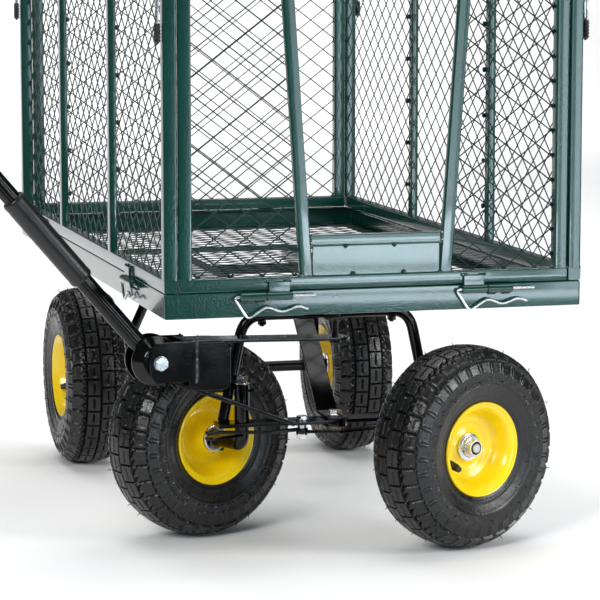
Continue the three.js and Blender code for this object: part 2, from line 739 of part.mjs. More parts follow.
function axleNut() {
  return cut(
    hexHead([14.4, 0, 0], [25, 0, 0], 19, 12),
    rod([10, 0, 0], [30, 0, 0], AXLE_RADIUS + GAP, 16),
  );
}

function rearAxle() {
  const reach = REAR_WHEEL_X + 27;
  return rod([-reach, REAR_AXLE_Y, WHEEL_RADIUS], [reach, REAR_AXLE_Y, WHEEL_RADIUS], AXLE_RADIUS, 16);
}

// ---- mesh sides ----

// Rectangular frame of one side, standing on the face that looks along -Y.
function panelOutline(halfWidth, face) {
  return cut(
    block(-halfWidth, halfWidth, face, face + BAR, PANEL_BOTTOM, PANEL_TOP),
    block(-halfWidth + BAR, halfWidth - BAR, face - 1, face + BAR + 1, PANEL_BOTTOM + BAR, PANEL_TOP - BAR),
  );
}

function sideFrame(face) {
  const halfLength = BED_LENGTH / 2;
  const posts = [-1, 1].map((side) => {
    const x0 = side * POST_Y - BAR / 2;
    return block(x0, x0 + BAR, face.face, face.face + 10, PANEL_BOTTOM + 1, PANEL_TOP - 1);
  });
  const lugs = [-1, 1].map((side) => {
    const x = side * (halfLength - BAR / 2);
    const z = PANEL_TOP - LATCH_PIVOT_DROP;
    const lug = block(x - 2, x + 2, face.face - 9, face.face + 1, z - 6, z + 6);
    return cut(lug, rod([x - 9, face.face - 5, z], [x + 9, face.face - 5, z], 2.2, 12));
  });
  const frame = union(panelOutline(halfLength, face.face), ...posts, ...lugs);
  return union(swing(frame, face.turn, 0, 0), ...panelKnuckles(face));
}

function sideMesh(face) {
  const x = BED_LENGTH / 2 - BAR - GAP;
  const y0 = face.face + 10 + GAP;
  const sheet = block(-x, x, y0, y0 + MESH_SHEET, PANEL_BOTTOM + BAR + GAP, PANEL_TOP - BAR - GAP);
  return swing(sheet, face.turn, 0, 0);
}

function rearFrame(face) {
  return union(swing(panelOutline(END_HALF, face.face), face.turn, 0, 0), ...panelKnuckles(face));
}

function rearMesh(face) {
  const x = END_HALF - BAR - GAP;
  const y0 = face.face + 7;
  const sheet = block(-x, x, y0, y0 + MESH_SHEET, PANEL_BOTTOM + BAR + GAP, PANEL_TOP - BAR - GAP);
  return swing(sheet, face.turn, 0, 0);
}

// Outline in X and Z, given depth along +Y from y0.
function upright(outline, y0, depth) {
  return plate(outline.map(([x, z]) => [x, -z]), 0, depth).rotate([-90, 0, 0]).translate([0, y0, 0]);
}

function strutX(z) {
  const low = PANEL_BOTTOM + BAR;
  const high = PANEL_TOP - BAR;
  return STRUT_BOTTOM_X + ((STRUT_TOP_X - STRUT_BOTTOM_X) * (z - low)) / (high - low);
}

function frontFrame(face) {
  const low = PANEL_BOTTOM + BAR - 1;
  const high = PANEL_TOP - BAR + 1;
  const half = STRUT_WIDTH / 2;
  const struts = [-1, 1].map((side) => upright([
    [side * strutX(low) - half, low],
    [side * strutX(low) + half, low],
    [side * strutX(high) + half, high],
    [side * strutX(high) - half, high],
  ], face.face, 10));
  const x = strutX(SLAT_BOTTOM);
  const slat = block(-x, x, face.face + 1, face.face + 9, SLAT_BOTTOM, SLAT_TOP);
  return union(panelOutline(END_HALF, face.face), ...struts, slat, ...panelKnuckles(face));
}

function frontMesh(face, side) {
  const low = PANEL_BOTTOM + BAR + GAP;
  const high = PANEL_TOP - BAR - GAP;
  const edge = END_HALF - BAR - GAP;
  return upright([
    [side * strutX(low), low],
    [side * edge, low],
    [side * edge, high],
    [side * strutX(high), high],
  ], face.face + 10 + GAP, MESH_SHEET);
}

function frontPlate(face) {
  const low = PANEL_BOTTOM + BAR + GAP;
  const x = strutX(low) - STRUT_WIDTH / 2 - GAP;
  return block(-x, x, face.face + 2, face.face + 4, low, SLAT_BOTTOM - GAP);
}

// ---- corner latches ----
// Wire bail with a moulded finger tip, hanging from the lug near a side's corner.
function latch(face, side) {
  const x = side * (BED_LENGTH / 2 - BAR / 2);
  const y = face.face - 5;
  const z = PANEL_TOP - LATCH_PIVOT_DROP;
  const wire = bentBar([
    [x - 0.4, y, z],
    [x - 6, y, z],
    [x - 4, y, z - LATCH_LENGTH + 8],
    [x + 4, y, z - LATCH_LENGTH + 8],
    [x + 6, y, z],
    [x + 0.4, y, z],
  ], 2, 1.5, 5, 2);
  const tip = block(x - 6.5, x + 6.5, y - 3.5, y + 3.5, z - LATCH_LENGTH, z - LATCH_LENGTH + 27);
  return swing(union(wire, tip), face.turn, 0, 0);
}

// ---- assembly ----
const [FRONT, RIGHT, REAR, LEFT] = FACES;

add('bed_rim', bedRim(), greenPaint);
add('bed_floor_mesh', bedFloor(), greenPaint);
add('front_arch', frontArch(), blackPaint);
add('rear_arch', rearArch(), blackPaint);
add('arch_bolt_left', archBolt(-1, FRONT_ARCH_Y), blackPaint);
add('arch_bolt_right', archBolt(1, FRONT_ARCH_Y), blackPaint);
add('centre_brace', centreBrace(), blackPaint);
add('front_beam', frontBeam(), blackPaint);
add('kingpin_barrel_left', barrel(-1), blackPaint);
add('kingpin_barrel_right', barrel(1), blackPaint);
add('upper_pivot_pin', pivotPin(), blackPaint);
add('lower_pivot_bolt', pivotBolt(), zinc);
add('rear_axle', rearAxle(), blackPaint);

add('drawbar', drawbar(), blackPaint);
add('link_bolt', linkBolt(), zinc);
add('tie_rod_left', tieRod(-1, TIE_HIGH), blackPaint);
add('tie_rod_right', tieRod(1, TIE_LOW), blackPaint);
add('knuckle_left', steeringKnuckle(-1), blackPaint);
add('knuckle_right', steeringKnuckle(1), blackPaint);
add('kingpin_nut_left', kingpinNut(-1), zinc);
add('kingpin_nut_right', kingpinNut(1), zinc);

for (const end of ['front', 'rear']) {
  for (const [name, side] of [['left', -1], ['right', 1]]) {
    add(`tyre_${end}_${name}`, placeWheel(turned(TYRE_OUTLINE), end, side), tyreRubber);
    add(`rim_${end}_${name}`, wheelRim(end, side), yellowPaint);
    add(`axle_nut_${end}_${name}`, placeWheel(axleNut(), end, side), zinc);
  }
}

add('clevis_bolt', clevisBolt(), zinc);
add('handle_base', handleBase(), blackPaint);
add('handle_sleeve', handleSleeve(), blackPlastic);
add('handle_tube', handleTube(), blackPaint);
add('handle_grip', handleGrip(), blackPlastic);

add('front_panel_frame', frontFrame(FRONT), greenPaint);
add('front_panel_mesh_left', frontMesh(FRONT, -1), greenPaint);
add('front_panel_mesh_right', frontMesh(FRONT, 1), greenPaint);
add('front_panel_plate', frontPlate(FRONT), greenPaint);
add('rear_panel_frame', rearFrame(REAR), greenPaint);
add('rear_panel_mesh', rearMesh(REAR), greenPaint);
for (const face of [LEFT, RIGHT]) {
  add(`${face.name}_panel_frame`, sideFrame(face), greenPaint);
  add(`${face.name}_panel_mesh`, sideMesh(face), greenPaint);
}

for (const face of FACES) {
  add(`clip_${face.name}_a`, clip(face, -1), zinc);
  add(`clip_${face.name}_b`, clip(face, 1), zinc);
}

add('latch_left_rear', latch(LEFT, -1), zinc);
add('latch_left_front', latch(LEFT, 1), zinc);
add('latch_right_front', latch(RIGHT, -1), zinc);
add('latch_right_rear', latch(RIGHT, 1), zinc);

const bounds = new THREE.Box3().setFromObject(group);
const centre = bounds.getCenter(new THREE.Vector3());
for (const node of group.children) {
  node.geometry.translate(-centre.x, -centre.y, -bounds.min.z);
}

export default group;
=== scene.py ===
import math
import random

import bmesh
import bpy
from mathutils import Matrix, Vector


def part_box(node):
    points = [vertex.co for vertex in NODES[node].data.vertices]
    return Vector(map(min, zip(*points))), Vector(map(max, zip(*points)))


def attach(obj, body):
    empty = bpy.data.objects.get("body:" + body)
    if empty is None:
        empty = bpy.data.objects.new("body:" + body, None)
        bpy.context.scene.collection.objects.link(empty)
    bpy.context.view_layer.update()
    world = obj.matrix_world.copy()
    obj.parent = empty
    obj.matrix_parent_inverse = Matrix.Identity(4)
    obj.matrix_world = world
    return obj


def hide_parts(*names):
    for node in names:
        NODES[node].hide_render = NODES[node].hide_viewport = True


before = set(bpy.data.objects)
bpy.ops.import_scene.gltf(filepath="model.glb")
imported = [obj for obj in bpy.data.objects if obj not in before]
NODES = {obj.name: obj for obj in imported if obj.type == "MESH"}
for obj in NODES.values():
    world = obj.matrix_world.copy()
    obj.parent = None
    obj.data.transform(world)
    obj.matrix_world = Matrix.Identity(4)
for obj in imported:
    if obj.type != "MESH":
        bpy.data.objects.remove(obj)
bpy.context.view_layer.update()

# Lengths are in millimetres. x is measured from the bed's centre line and z from the ground.
MM = 0.001
FLOOR_LOW, FLOOR_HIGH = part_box("bed_floor_mesh")
BED_X = (FLOOR_LOW.x + FLOOR_HIGH.x) / 2
SIDES = ((-1, "left"), (1, "right"))
# signs of the two directions at each corner of a rectangle, and the quarter turn its arc starts at
CORNERS = ((1, 1, 0), (-1, 1, 1), (-1, -1, 2), (1, -1, 3))

# bed
BED_WIDTH = 515.0
BED_LENGTH = 970.0
RIM_BOTTOM = 317.0
RIM_TOP = 347.0
FLOOR_Z = 320.4
FLOOR_PITCH_X = 52.0
FLOOR_PITCH_Y = 26.0
LONG_RAIL_X = 85
LONG_RAIL_Z = 306.6
RAIL_FRONT = -300
RAIL_BACK = 230
HINGE_OUT = 5.5
HINGE_Z = RIM_TOP - 5.5
KNUCKLE = 31.0

# sides
PANEL_BOTTOM = 347.4
PANEL_TOP = 797.4
BAR = 16.0
END_HALF = BED_WIDTH / 2 - BAR - 1.5
SIDE_BAR_X = 165
SLAT_RISE = 57
PLATE_TOP = 50.5
LATCH_Z = PANEL_TOP - 32
MESH_LOW = PANEL_BOTTOM + BAR - 1
MESH_HIGH = PANEL_TOP - BAR + 1
WIRE_PITCH_X = 39.0
WIRE_PITCH_Z = 29.8
WIRE_RADIUS = 0.85
WIRE_LIFT = 0.7
LINE_STEPS = 240

# wheels and steering
WHEEL_RADIUS = 128.0
REAR_WHEEL_X = 197
REAR_AXLE_Y = 319
FRONT_WHEEL_X = 202.5
FRONT_AXLE_Y = -285
KINGPIN_X = 114.5
FRONT_ARCH_Y = -272
ARCH_TOP = 289
ARCH_TUBE = 7.0
STEERED = math.radians(66.4)

# drawbar and handle
TONGUE_TURN = math.radians(85)
HANDLE_RISE = math.radians(49.5)
PIVOT = Vector((0, -308, 0))
CLEVIS = Vector((0, -547, 247))
BOX_FRONT = PIVOT.y - 201
# (distance back from the nose, share of the half height) along the end of a cheek plate
CHEEK_NOSE = ((9, 1), (5.6, 0.86), (2.8, 0.66), (0.9, 0.36), (0, 0))
HANDLE_TUBE = 11.0
SLEEVE_FROM = 135
SLEEVE_TO = 266
HANDLE_LENGTH = 860


def at(x, y, z):
    """A point in metres from millimetres, measured from the bed's centre line on the ground."""
    return Vector((BED_X + x * MM, y * MM, z * MM))


# ---------------------------------------------------------------- materials
class Look:
    """A material in the making, with textures in object coordinates."""

    def __init__(self, name):
        self.material = bpy.data.materials.new(name)
        self.material.use_nodes = True
        self.nodes = self.material.node_tree.nodes
        self.links = self.material.node_tree.links
        self.shader = self.nodes["Principled BSDF"]
        self.coords = self.nodes.new("ShaderNodeTexCoord")

    def noise(self, scale, detail=3.0, rough=0.55):
        tex = self.nodes.new("ShaderNodeTexNoise")
        tex.inputs["Scale"].default_value = scale
        tex.inputs["Detail"].default_value = detail
        tex.inputs["Roughness"].default_value = rough
        self.links.new(self.coords.outputs["Object"], tex.inputs["Vector"])
        return tex.outputs["Fac"]

    def span(self, source, low, high, from_low=0.3, from_high=0.7):
        """The source, stretched to run from low to high."""
        node = self.nodes.new("ShaderNodeMapRange")
        node.inputs["From Min"].default_value = from_low
        node.inputs["From Max"].default_value = from_high
        node.inputs["To Min"].default_value = low
        node.inputs["To Max"].default_value = high
        self.links.new(source, node.inputs["Value"])
        return node.outputs["Result"]

    def dots(self, scale, inner, outer):
        """Small round dots, 1 inside the inner distance from their middle and 0 beyond the outer one."""
        cells = self.nodes.new("ShaderNodeTexVoronoi")
        cells.inputs["Scale"].default_value = scale
        self.links.new(self.coords.outputs["Object"], cells.inputs["Vector"])
        return self.span(cells.outputs["Distance"], 1.0, 0.0, inner, outer)

    def tint(self, source, stops):
        """Base colour from (value, colour) stops."""
        node = self.nodes.new("ShaderNodeValToRGB")
        elements = node.color_ramp.elements
        for element, (position, colour) in zip(elements, stops):
            element.position = position
            element.color = (*colour, 1.0)
        self.links.new(source, node.inputs["Fac"])
        self.links.new(node.outputs["Color"], self.shader.inputs["Base Color"])

    def roughen(self, source, low, high):
        self.links.new(self.span(source, low, high), self.shader.inputs["Roughness"])

    def bump(self, height, strength, distance, below=None):
        """Small relief, on top of an earlier one if that is given as below."""
        node = self.nodes.new("ShaderNodeBump")
        node.inputs["Strength"].default_value = strength
        node.inputs["Distance"].default_value = distance
        self.links.new(height, node.inputs["Height"])
        if below is not None:
            self.links.new(below.outputs["Normal"], node.inputs["Normal"])
        self.links.new(node.outputs["Normal"], self.shader.inputs["Normal"])
        return node

    def set(self, name, value):
        self.shader.inputs[name].default_value = value


def paint(name, dark, light, rough, coat, peel=0.25, shine=0.5):
    """Sprayed gloss paint: slightly uneven colour, orange peel and small dust nibs."""
    look = Look(name)
    look.tint(look.noise(9.0, 4.0), [(0.3, dark), (0.7, light)])
    look.roughen(look.noise(35.0, 5.0, 0.65), *rough)
    skin = look.bump(look.noise(420.0, 2.0), peel, 0.0006)
    look.bump(look.dots(160.0, 0.02, 0.09), 0.12, 0.0004, skin)
    look.set("Specular IOR Level", shine)
    look.set("Coat Weight", coat)
    look.set("Coat Roughness", 0.07)
    return look.material


def rubber(name):
    """Moulded rubber, nearly black, with fine grain, scuffs and nubs."""
    look = Look(name)
    look.tint(look.noise(14.0, 5.0, 0.6), [(0.3, (0.0035, 0.0035, 0.0037)), (0.72, (0.010, 0.010, 0.0105))])
    look.roughen(look.noise(60.0, 4.0), 0.18, 0.40)
    grain = look.bump(look.noise(900.0, 2.0), 0.35, 0.0005)
    skin = look.bump(look.noise(170.0, 4.0, 0.7), 0.35, 0.0010, grain)
    look.bump(look.dots(95.0, 0.05, 0.16), 0.35, 0.0007, skin)
    look.set("Specular IOR Level", 0.46)
    return look.material


def grained(name, dark, light, rough, cloud_size, grain):
    """Uneven colour and roughness from one cloud, with fine grain as (scale, strength, distance)."""
    look = Look(name)
    cloud = look.noise(*cloud_size)
    look.tint(cloud, [(0.3, dark), (0.7, light)])
    look.roughen(cloud, *rough)
    scale, strength, distance = grain
    look.bump(look.noise(scale, 2.0), strength, distance)
    return look


def plated(name, dark, light, rough=(0.16, 0.34)):
    """Zinc plating, or bare weld metal."""
    look = grained(name, dark, light, rough, (60.0, 4.0), (900.0, 0.15, 0.0003))
    look.set("Metallic", 1.0)
    return look.material


def plastic(name, dark, light, rough=(0.28, 0.42)):
    """Black plastic, or soft rubber."""
    return grained(name, dark, light, rough, (25.0, 3.0), (1100.0, 0.2, 0.0004)).material


GREEN = paint(
    "green_gloss", (0.0016, 0.034, 0.026), (0.0028, 0.050, 0.039),
    rough=(0.1, 0.18), coat=0.8, peel=0.45, shine=0.4,
)
GREEN_WIRE = paint(
    "green_wire", (0.0012, 0.016, 0.013), (0.002, 0.026, 0.021), rough=(0.25, 0.4), coat=0.1, shine=0.35,
)
BLACK = paint(
    "black_gloss", (0.001, 0.001, 0.0011), (0.0024, 0.0024, 0.0026),
    rough=(0.08, 0.18), coat=0.1, shine=0.26, peel=0.15,
)
YELLOW = paint(
    "yellow_gloss", (0.87, 0.60, 0.001), (0.93, 0.66, 0.003), rough=(0.24, 0.38), coat=0.4, peel=0.12,
)
RUBBER = rubber("tyre_rubber")
ZINC = plated("bright_zinc", (0.52, 0.53, 0.55), (0.80, 0.81, 0.83))
WELD = plated("weld_metal", (0.012, 0.012, 0.013), (0.16, 0.16, 0.17), rough=(0.2, 0.4))
ZINC_DULL = plated("dull_zinc", (0.40, 0.41, 0.42), (0.62, 0.62, 0.62), rough=(0.3, 0.5))
BLACK_PLASTIC = plastic("black_plastic", (0.005, 0.005, 0.0055), (0.010, 0.010, 0.0105))
TIP_RUBBER = plastic("tip_rubber", (0.008, 0.008, 0.008), (0.014, 0.014, 0.014), rough=(0.35, 0.5))


# ---------------------------------------------------------------- mesh building
def add_object(name, data):
    thing = bpy.data.objects.new(name, data)
    bpy.context.scene.collection.objects.link(thing)
    return thing


def visible_piece(name, mesh, material, smooth, flat_faces=True):
    """Object with smooth shading below an angle. flat_faces keeps broad faces flat next to eased corners."""
    mesh.materials.append(material)
    thing = add_object(name, mesh)
    mesh.shade_smooth()
    mesh.set_sharp_from_angle(angle=math.radians(smooth))
    if flat_faces:
        weighted = thing.modifiers.new("flat_faces", "WEIGHTED_NORMAL")
        weighted.keep_sharp = True
    return thing


class Build:
    """Collects closed shapes, in millimetres from the bed's centre line, into one object."""

    def __init__(self):
        self.verts = []
        self.faces = []

    def add(self, verts, faces):
        base = len(self.verts)
        self.verts += [Vector(v) for v in verts]
        self.faces += [tuple(base + i for i in face) for face in faces]

    def loft(self, rings, closed_ring=False):
        """Skin a list of equal rings of points, with flat ends unless the rings close on themselves."""
        n = len(rings[0])
        verts = [p for r in rings for p in r]
        faces = []
        count = len(rings)
        for i in range(count if closed_ring else count - 1):
            j = (i + 1) % count
            for k in range(n):
                m = (k + 1) % n
                faces.append((i * n + k, i * n + m, j * n + m, j * n + k))
        if not closed_ring:
            faces.append(tuple(reversed(range(n))))
            faces.append(tuple((count - 1) * n + k for k in range(n)))
        self.add(verts, faces)

    def tube(self, points, radius, sides=10, section=None, closed=False):
        """Sweep a round section, or a given one, along points. radius may be a list with one for each."""
        points = [Vector(p) for p in points]
        count = len(points)
        tangents = []
        for i in range(count):
            a = points[(i - 1) % count] if closed or i > 0 else points[i]
            b = points[(i + 1) % count] if closed or i < count - 1 else points[i]
            tangents.append((b - a).normalized())
        side = tangents[0].orthogonal().normalized()
        rings = []
        for i, (p, t) in enumerate(zip(points, tangents)):
            if i:
                side = (side - t * side.dot(t)).normalized()
            up = t.cross(side)
            r = radius[i] if isinstance(radius, (list, tuple)) else radius
            ring = []
            for k in range(sides):
                angle = 2 * math.pi * k / sides
                swell = section(angle) if section else 1.0
                ring.append(p + (side * math.cos(angle) + up * math.sin(angle)) * r * swell)
            rings.append(ring)
        self.loft(rings, closed)

    def bar(self, start, end, across, width, depth, corner=2.0, steps=2):
        """Bar of rounded rectangular section. width runs along across, depth at right angles to it."""
        start, end = Vector(start), Vector(end)
        along = (end - start).normalized()
        u = Vector(across)
        u = (u - along * u.dot(along)).normalized()
        v = along.cross(u)
        section = []
        for su, sv, first in CORNERS:
            centre = u * (su * (width / 2 - corner)) + v * (sv * (depth / 2 - corner))
            for k in range(steps + 1):
                angle = (first + k / steps) * math.pi / 2
                section.append(centre + (u * math.cos(angle) + v * math.sin(angle)) * corner)
        chamfer = min(0.6, corner / 2)
        inset = [p * (1 - chamfer / max(width, depth) * 2) for p in section]
        self.loft([
            [start + p for p in inset],
            [start + along * chamfer + p for p in section],
            [end - along * chamfer + p for p in section],
            [end + p for p in inset],
        ])

    def lathe(self, outline, origin, axis, segments=48, up=(0, 0, 1)):
        """Turn an outline of (radius, offset along axis) round the axis. Radius 0 closes on the axis."""
        origin = Vector(origin)
        axis = Vector(axis).normalized()
        u = Vector(up)
        u = (u - axis * u.dot(axis)).normalized()
        v = axis.cross(u)
        index = []
        for radius, offset in outline:
            centre = origin + axis * offset
            if radius < 1e-6:
                self.verts.append(centre)
                index.append([len(self.verts) - 1] * segments)
                continue
            first = len(self.verts)
            for k in range(segments):
                angle = 2 * math.pi * k / segments
                self.verts.append(centre + (u * math.cos(angle) + v * math.sin(angle)) * radius)
            index.append(list(range(first, first + segments)))
        for i, row in enumerate(index):
            j = (i + 1) % len(index)
            if outline[i][0] < 1e-6 and outline[j][0] < 1e-6:
                continue
            for k in range(segments):
                m = (k + 1) % segments
                face = []
                for q in (row[k], index[j][k], index[j][m], row[m]):
                    if q not in face:
                        face.append(q)
                if len(face) > 2:
                    self.faces.append(tuple(face))

    def blob(self, centre, radius, stretch=(1, 1, 1), seed=0):
        """A small lumpy drop of weld metal."""
        rnd = random.Random(seed)
        rings, sides = 4, 6
        verts = [Vector((0, 0, 1))]
        for i in range(1, rings):
            polar = math.pi * i / rings
            flat = math.sin(polar)
            for k in range(sides):
                angle = 2 * math.pi * (k + 0.5 * (i % 2)) / sides
                verts.append(Vector((flat * math.cos(angle), flat * math.sin(angle), math.cos(polar))))
        verts.append(Vector((0, 0, -1)))
        faces = [(0, 1 + k, 1 + (k + 1) % sides) for k in range(sides)]
        for i in range(rings - 2):
            a = 1 + i * sides
            b = a + sides
            for k in range(sides):
                m = (k + 1) % sides
                faces.append((a + k, b + k, b + m, a + m))
        last = 1 + (rings - 2) * sides
        faces += [(len(verts) - 1, last + (k + 1) % sides, last + k) for k in range(sides)]
        out = []
        for p in verts:
            scale = radius * (0.85 + 0.3 * rnd.random())
            lump = Vector((p.x * stretch[0], p.y * stretch[1], p.z * stretch[2]))
            out.append(Vector(centre) + lump * scale)
        self.add(out, faces)

    def bead(self, start, end, radius=1.8, pitch=2.6, seed=0):
        """A weld bead: overlapping drops along a line."""
        start, end = Vector(start), Vector(end)
        length = (end - start).length
        count = max(2, int(length / pitch))
        for i in range(count + 1):
            self.blob(start.lerp(end, i / count), radius, seed=seed * 997 + i)

    def make(self, name, material, body, replaces=(), smooth=38.0, flat_faces=True):
        mesh = bpy.data.meshes.new(name)
        points = [(BED_X + v.x * MM, v.y * MM, v.z * MM) for v in self.verts]
        mesh.from_pydata(points, [], self.faces)
        bm = bmesh.new()
        bm.from_mesh(mesh)
        bmesh.ops.recalc_face_normals(bm, faces=bm.faces)
        bm.to_mesh(mesh)
        bm.free()
        thing = visible_piece(name, mesh, material, smooth, flat_faces)
        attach(thing, body)
        if replaces:
            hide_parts(*replaces)


def turned_point(p, centre, angle):
    """A point turned about the vertical line through centre."""
    x, y = p[0] - centre[0], p[1] - centre[1]
    c, s = math.cos(angle), math.sin(angle)
    return Vector((centre[0] + c * x - s * y, centre[1] + s * x + c * y, p[2]))


def tongue(p):
    """A point of the drawbar, drawn straight ahead, turned to where the drawbar points."""
    return turned_point(p, PIVOT, -TONGUE_TURN)


def on_handle(distance, x=0.0):
    """A point of the handle at a distance from the clevis bolt."""
    c, s = math.cos(HANDLE_RISE), math.sin(HANDLE_RISE)
    return tongue(Vector((x, CLEVIS.y - c * distance, CLEVIS.z + s * distance)))


def rounded(points, radius, steps=6, closed=False):
    """Points with each inner corner replaced by an arc-like curve that starts radius away from it."""
    points = [Vector(p) for p in points]
    out = []
    count = len(points)
    for i, p in enumerate(points):
        if not closed and i in (0, count - 1):
            out.append(p)
            continue
        a = points[(i - 1) % count]
        b = points[(i + 1) % count]
        reach = min(radius, (a - p).length * 0.49, (b - p).length * 0.49)
        first = p + (a - p).normalized() * reach
        last = p + (b - p).normalized() * reach
        for k in range(steps + 1):
            t = k / steps
            out.append(first * (1 - t) ** 2 + p * (2 * t * (1 - t)) + last * t ** 2)
    return out


def refined(node, material, body, width=0.9):
    """A copy of a CAD node with eased edges, which stands for the node."""
    bm = bmesh.new()
    bm.from_mesh(NODES[node].data)
    bmesh.ops.remove_doubles(bm, verts=bm.verts, dist=2e-6)
    bmesh.ops.dissolve_limit(bm, angle_limit=math.radians(0.5), verts=bm.verts, edges=bm.edges)
    limit = math.radians(40.0)
    sharp = [e for e in bm.edges if len(e.link_faces) == 2 and e.calc_face_angle(0.0) > limit]
    bmesh.ops.bevel(
        bm, geom=sharp, offset=width * MM, segments=2, profile=0.6, affect="EDGES", clamp_overlap=True,
    )
    bmesh.ops.recalc_face_normals(bm, faces=bm.faces)
    mesh = bpy.data.meshes.new(node + "_look")
    bm.to_mesh(mesh)
    bm.free()
    thing = visible_piece(node + "_look", mesh, material, 35.0)
    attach(thing, body)
    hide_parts(node)


# ---------------------------------------------------------------- faces of the bed
class Face:
    """One face of the bed. Shapes are laid out as if it looked along -Y, then turned into place."""

    def __init__(self, name, turn, line, offset):
        self.name = name
        self.turn = turn
        self.line = line
        self.offset = offset

    def __call__(self, x, depth, z):
        """The point x along the face, depth inwards from it and z above the ground."""
        return turned_point((x, self.line + depth, z), (0, 0), self.turn)

    def across(self):
        return turned_point((1, 0, 0), (0, 0), self.turn)

    def out(self):
        return turned_point((0, -1, 0), (0, 0), self.turn)

    def at_depth(self, depth):
        """A placing function for a mesh that lies depth inwards."""
        return lambda x, lift, z: self(x, depth + lift, z)


FRONT = Face("front", 0.0, -BED_LENGTH / 2, 136.5)
RIGHT = Face("right", math.pi / 2, -BED_WIDTH / 2, 307.0)
REAR = Face("rear", math.pi, -BED_LENGTH / 2, 136.5)
LEFT = Face("left", -math.pi / 2, -BED_WIDTH / 2, 307.0)
FACES = (FRONT, RIGHT, REAR, LEFT)


def hinge_knuckle(build, face, side, outwards):
    """Rolled hinge tube with a bore. outwards is 1 for the bed's half and -1 for the panel's."""
    a = side * (face.offset + outwards * 0.5)
    b = side * (face.offset + outwards * (KNUCKLE + 0.5))
    start = min(a, b)
    length = max(a, b) - start
    build.lathe(
        [(2.2, 0.0), (4.4, 0.0), (5.0, 0.6), (5.0, length - 0.6), (4.4, length), (2.2, length)],
        face(start, -HINGE_OUT, HINGE_Z), face.across(), 24,
    )
    return start + length / 2


def mesh_lines(low, high, inside, pitch_x, pitch_z, shift=0.0):
    """Two families of straight lines that cross in diamonds: (family, xa, za, xb, zb) for each.

    inside(z) gives the open width (x0, x1) at height z.
    """
    slope = pitch_z / pitch_x
    lines = []
    x_min = min(inside(low)[0], inside(high)[0])
    x_max = max(inside(low)[1], inside(high)[1])
    rise = (high - low) / slope
    count = int((x_max - x_min + rise) / pitch_x) + 3
    for family in (1, -1):
        start = x_min - rise if family > 0 else x_min
        for i in range(-2, count):
            first = start + i * pitch_x + shift
            samples = []
            for k in range(LINE_STEPS + 1):
                z = low + (high - low) * (k / LINE_STEPS)
                x = first + family * (z - low) / slope
                x0, x1 = inside(z)
                if x0 <= x <= x1:
                    samples.append((x, z))
            if len(samples) > 2:
                lines.append((family, *samples[0], *samples[-1]))
    return lines


def wire_mesh(build, place, inside, seed, shift=0.0):
    """Wires of one side, each with a drop of weld at both ends."""
    lines = mesh_lines(MESH_LOW, MESH_HIGH, inside, WIRE_PITCH_X, WIRE_PITCH_Z, shift)
    ends = []
    for family, xa, za, xb, zb in lines:
        lift = family * WIRE_LIFT
        build.tube([place(xa, lift, za), place(xb, lift, zb)], WIRE_RADIUS, 6)
        ends += [(xa, za), (xb, zb)]
    for i, (x, z) in enumerate(ends):
        build.blob(place(x, 0.0, z), 1.8, stretch=(1.0, 1.0, 1.3), seed=seed * 1009 + i)


# ---------------------------------------------------------------- bed
def bed_wall(build):
    """Folded sheet wall: outer wall, rolled top lip and bottom flange as one section round the bed."""
    low, top = RIM_BOTTOM, RIM_TOP
    section = [
        (0.0, low + 1.6), (0.5, low + 0.5), (1.6, low), (21.4, low), (22.0, low + 0.6), (21.4, low + 2),
        (3.4, low + 2), (2.2, low + 3.2), (2.2, top - 3), (3.0, top - 2), (15.6, top - 2), (16.0, top - 1.2),
        (15.6, top), (1.8, top), (0.5, top - 0.6), (0.0, top - 2),
    ]
    corner = 2.6
    rings = []
    for sx, sy, first in CORNERS:
        for k in range(4):
            angle = (first + k / 3) * math.pi / 2
            ring = []
            for inset, z in section:
                r = max(corner - inset, 0.0)
                cx = sx * (BED_WIDTH / 2 - max(corner, inset))
                cy = sy * (BED_LENGTH / 2 - max(corner, inset))
                ring.append(Vector((cx + r * math.cos(angle), cy + r * math.sin(angle), z)))
            rings.append(ring)
    build.loft(rings, closed_ring=True)


def bed_rails(build):
    half_x = BED_WIDTH / 2
    for x in (-LONG_RAIL_X, LONG_RAIL_X):
        build.bar((x, RAIL_FRONT, LONG_RAIL_Z), (x, RAIL_BACK, LONG_RAIL_Z), (1, 0, 0), 20, 20.4, 2.5)
    for y in (RAIL_FRONT, RAIL_BACK - 50):
        build.bar((-half_x + 2.5, y + 25, 318), (half_x - 2.5, y + 25, 318), (0, 1, 0), 50, 2, 0.6)


def bed_hinges(build):
    for i, face in enumerate(FACES):
        for side in (-1, 1):
            centre = hinge_knuckle(build, face, side, 1)
            z = HINGE_Z - 3.6
            build.bar(face(centre - 12, -2.6, z), face(centre + 12, -2.6, z), face.out(), 6.4, 2.6, 1.0)
            for end in (-1, 1):
                x = centre + end * 9
                z = HINGE_Z - 6
                build.bead(face(x - 4, -1.2, z), face(x + 4, -1.2, z), 1.7, 2.4, seed=i * 7 + side + end)


def bed_corner_welds(build):
    for sx in (-1, 1):
        for sy in (-1, 1):
            x = sx * (BED_WIDTH / 2 - 3.4)
            y = sy * (BED_LENGTH / 2 - 3.4)
            build.bead((x, y, RIM_BOTTOM + 3), (x, y, RIM_TOP - 3), 1.9, 2.4, seed=50 + sx + 2 * sy)


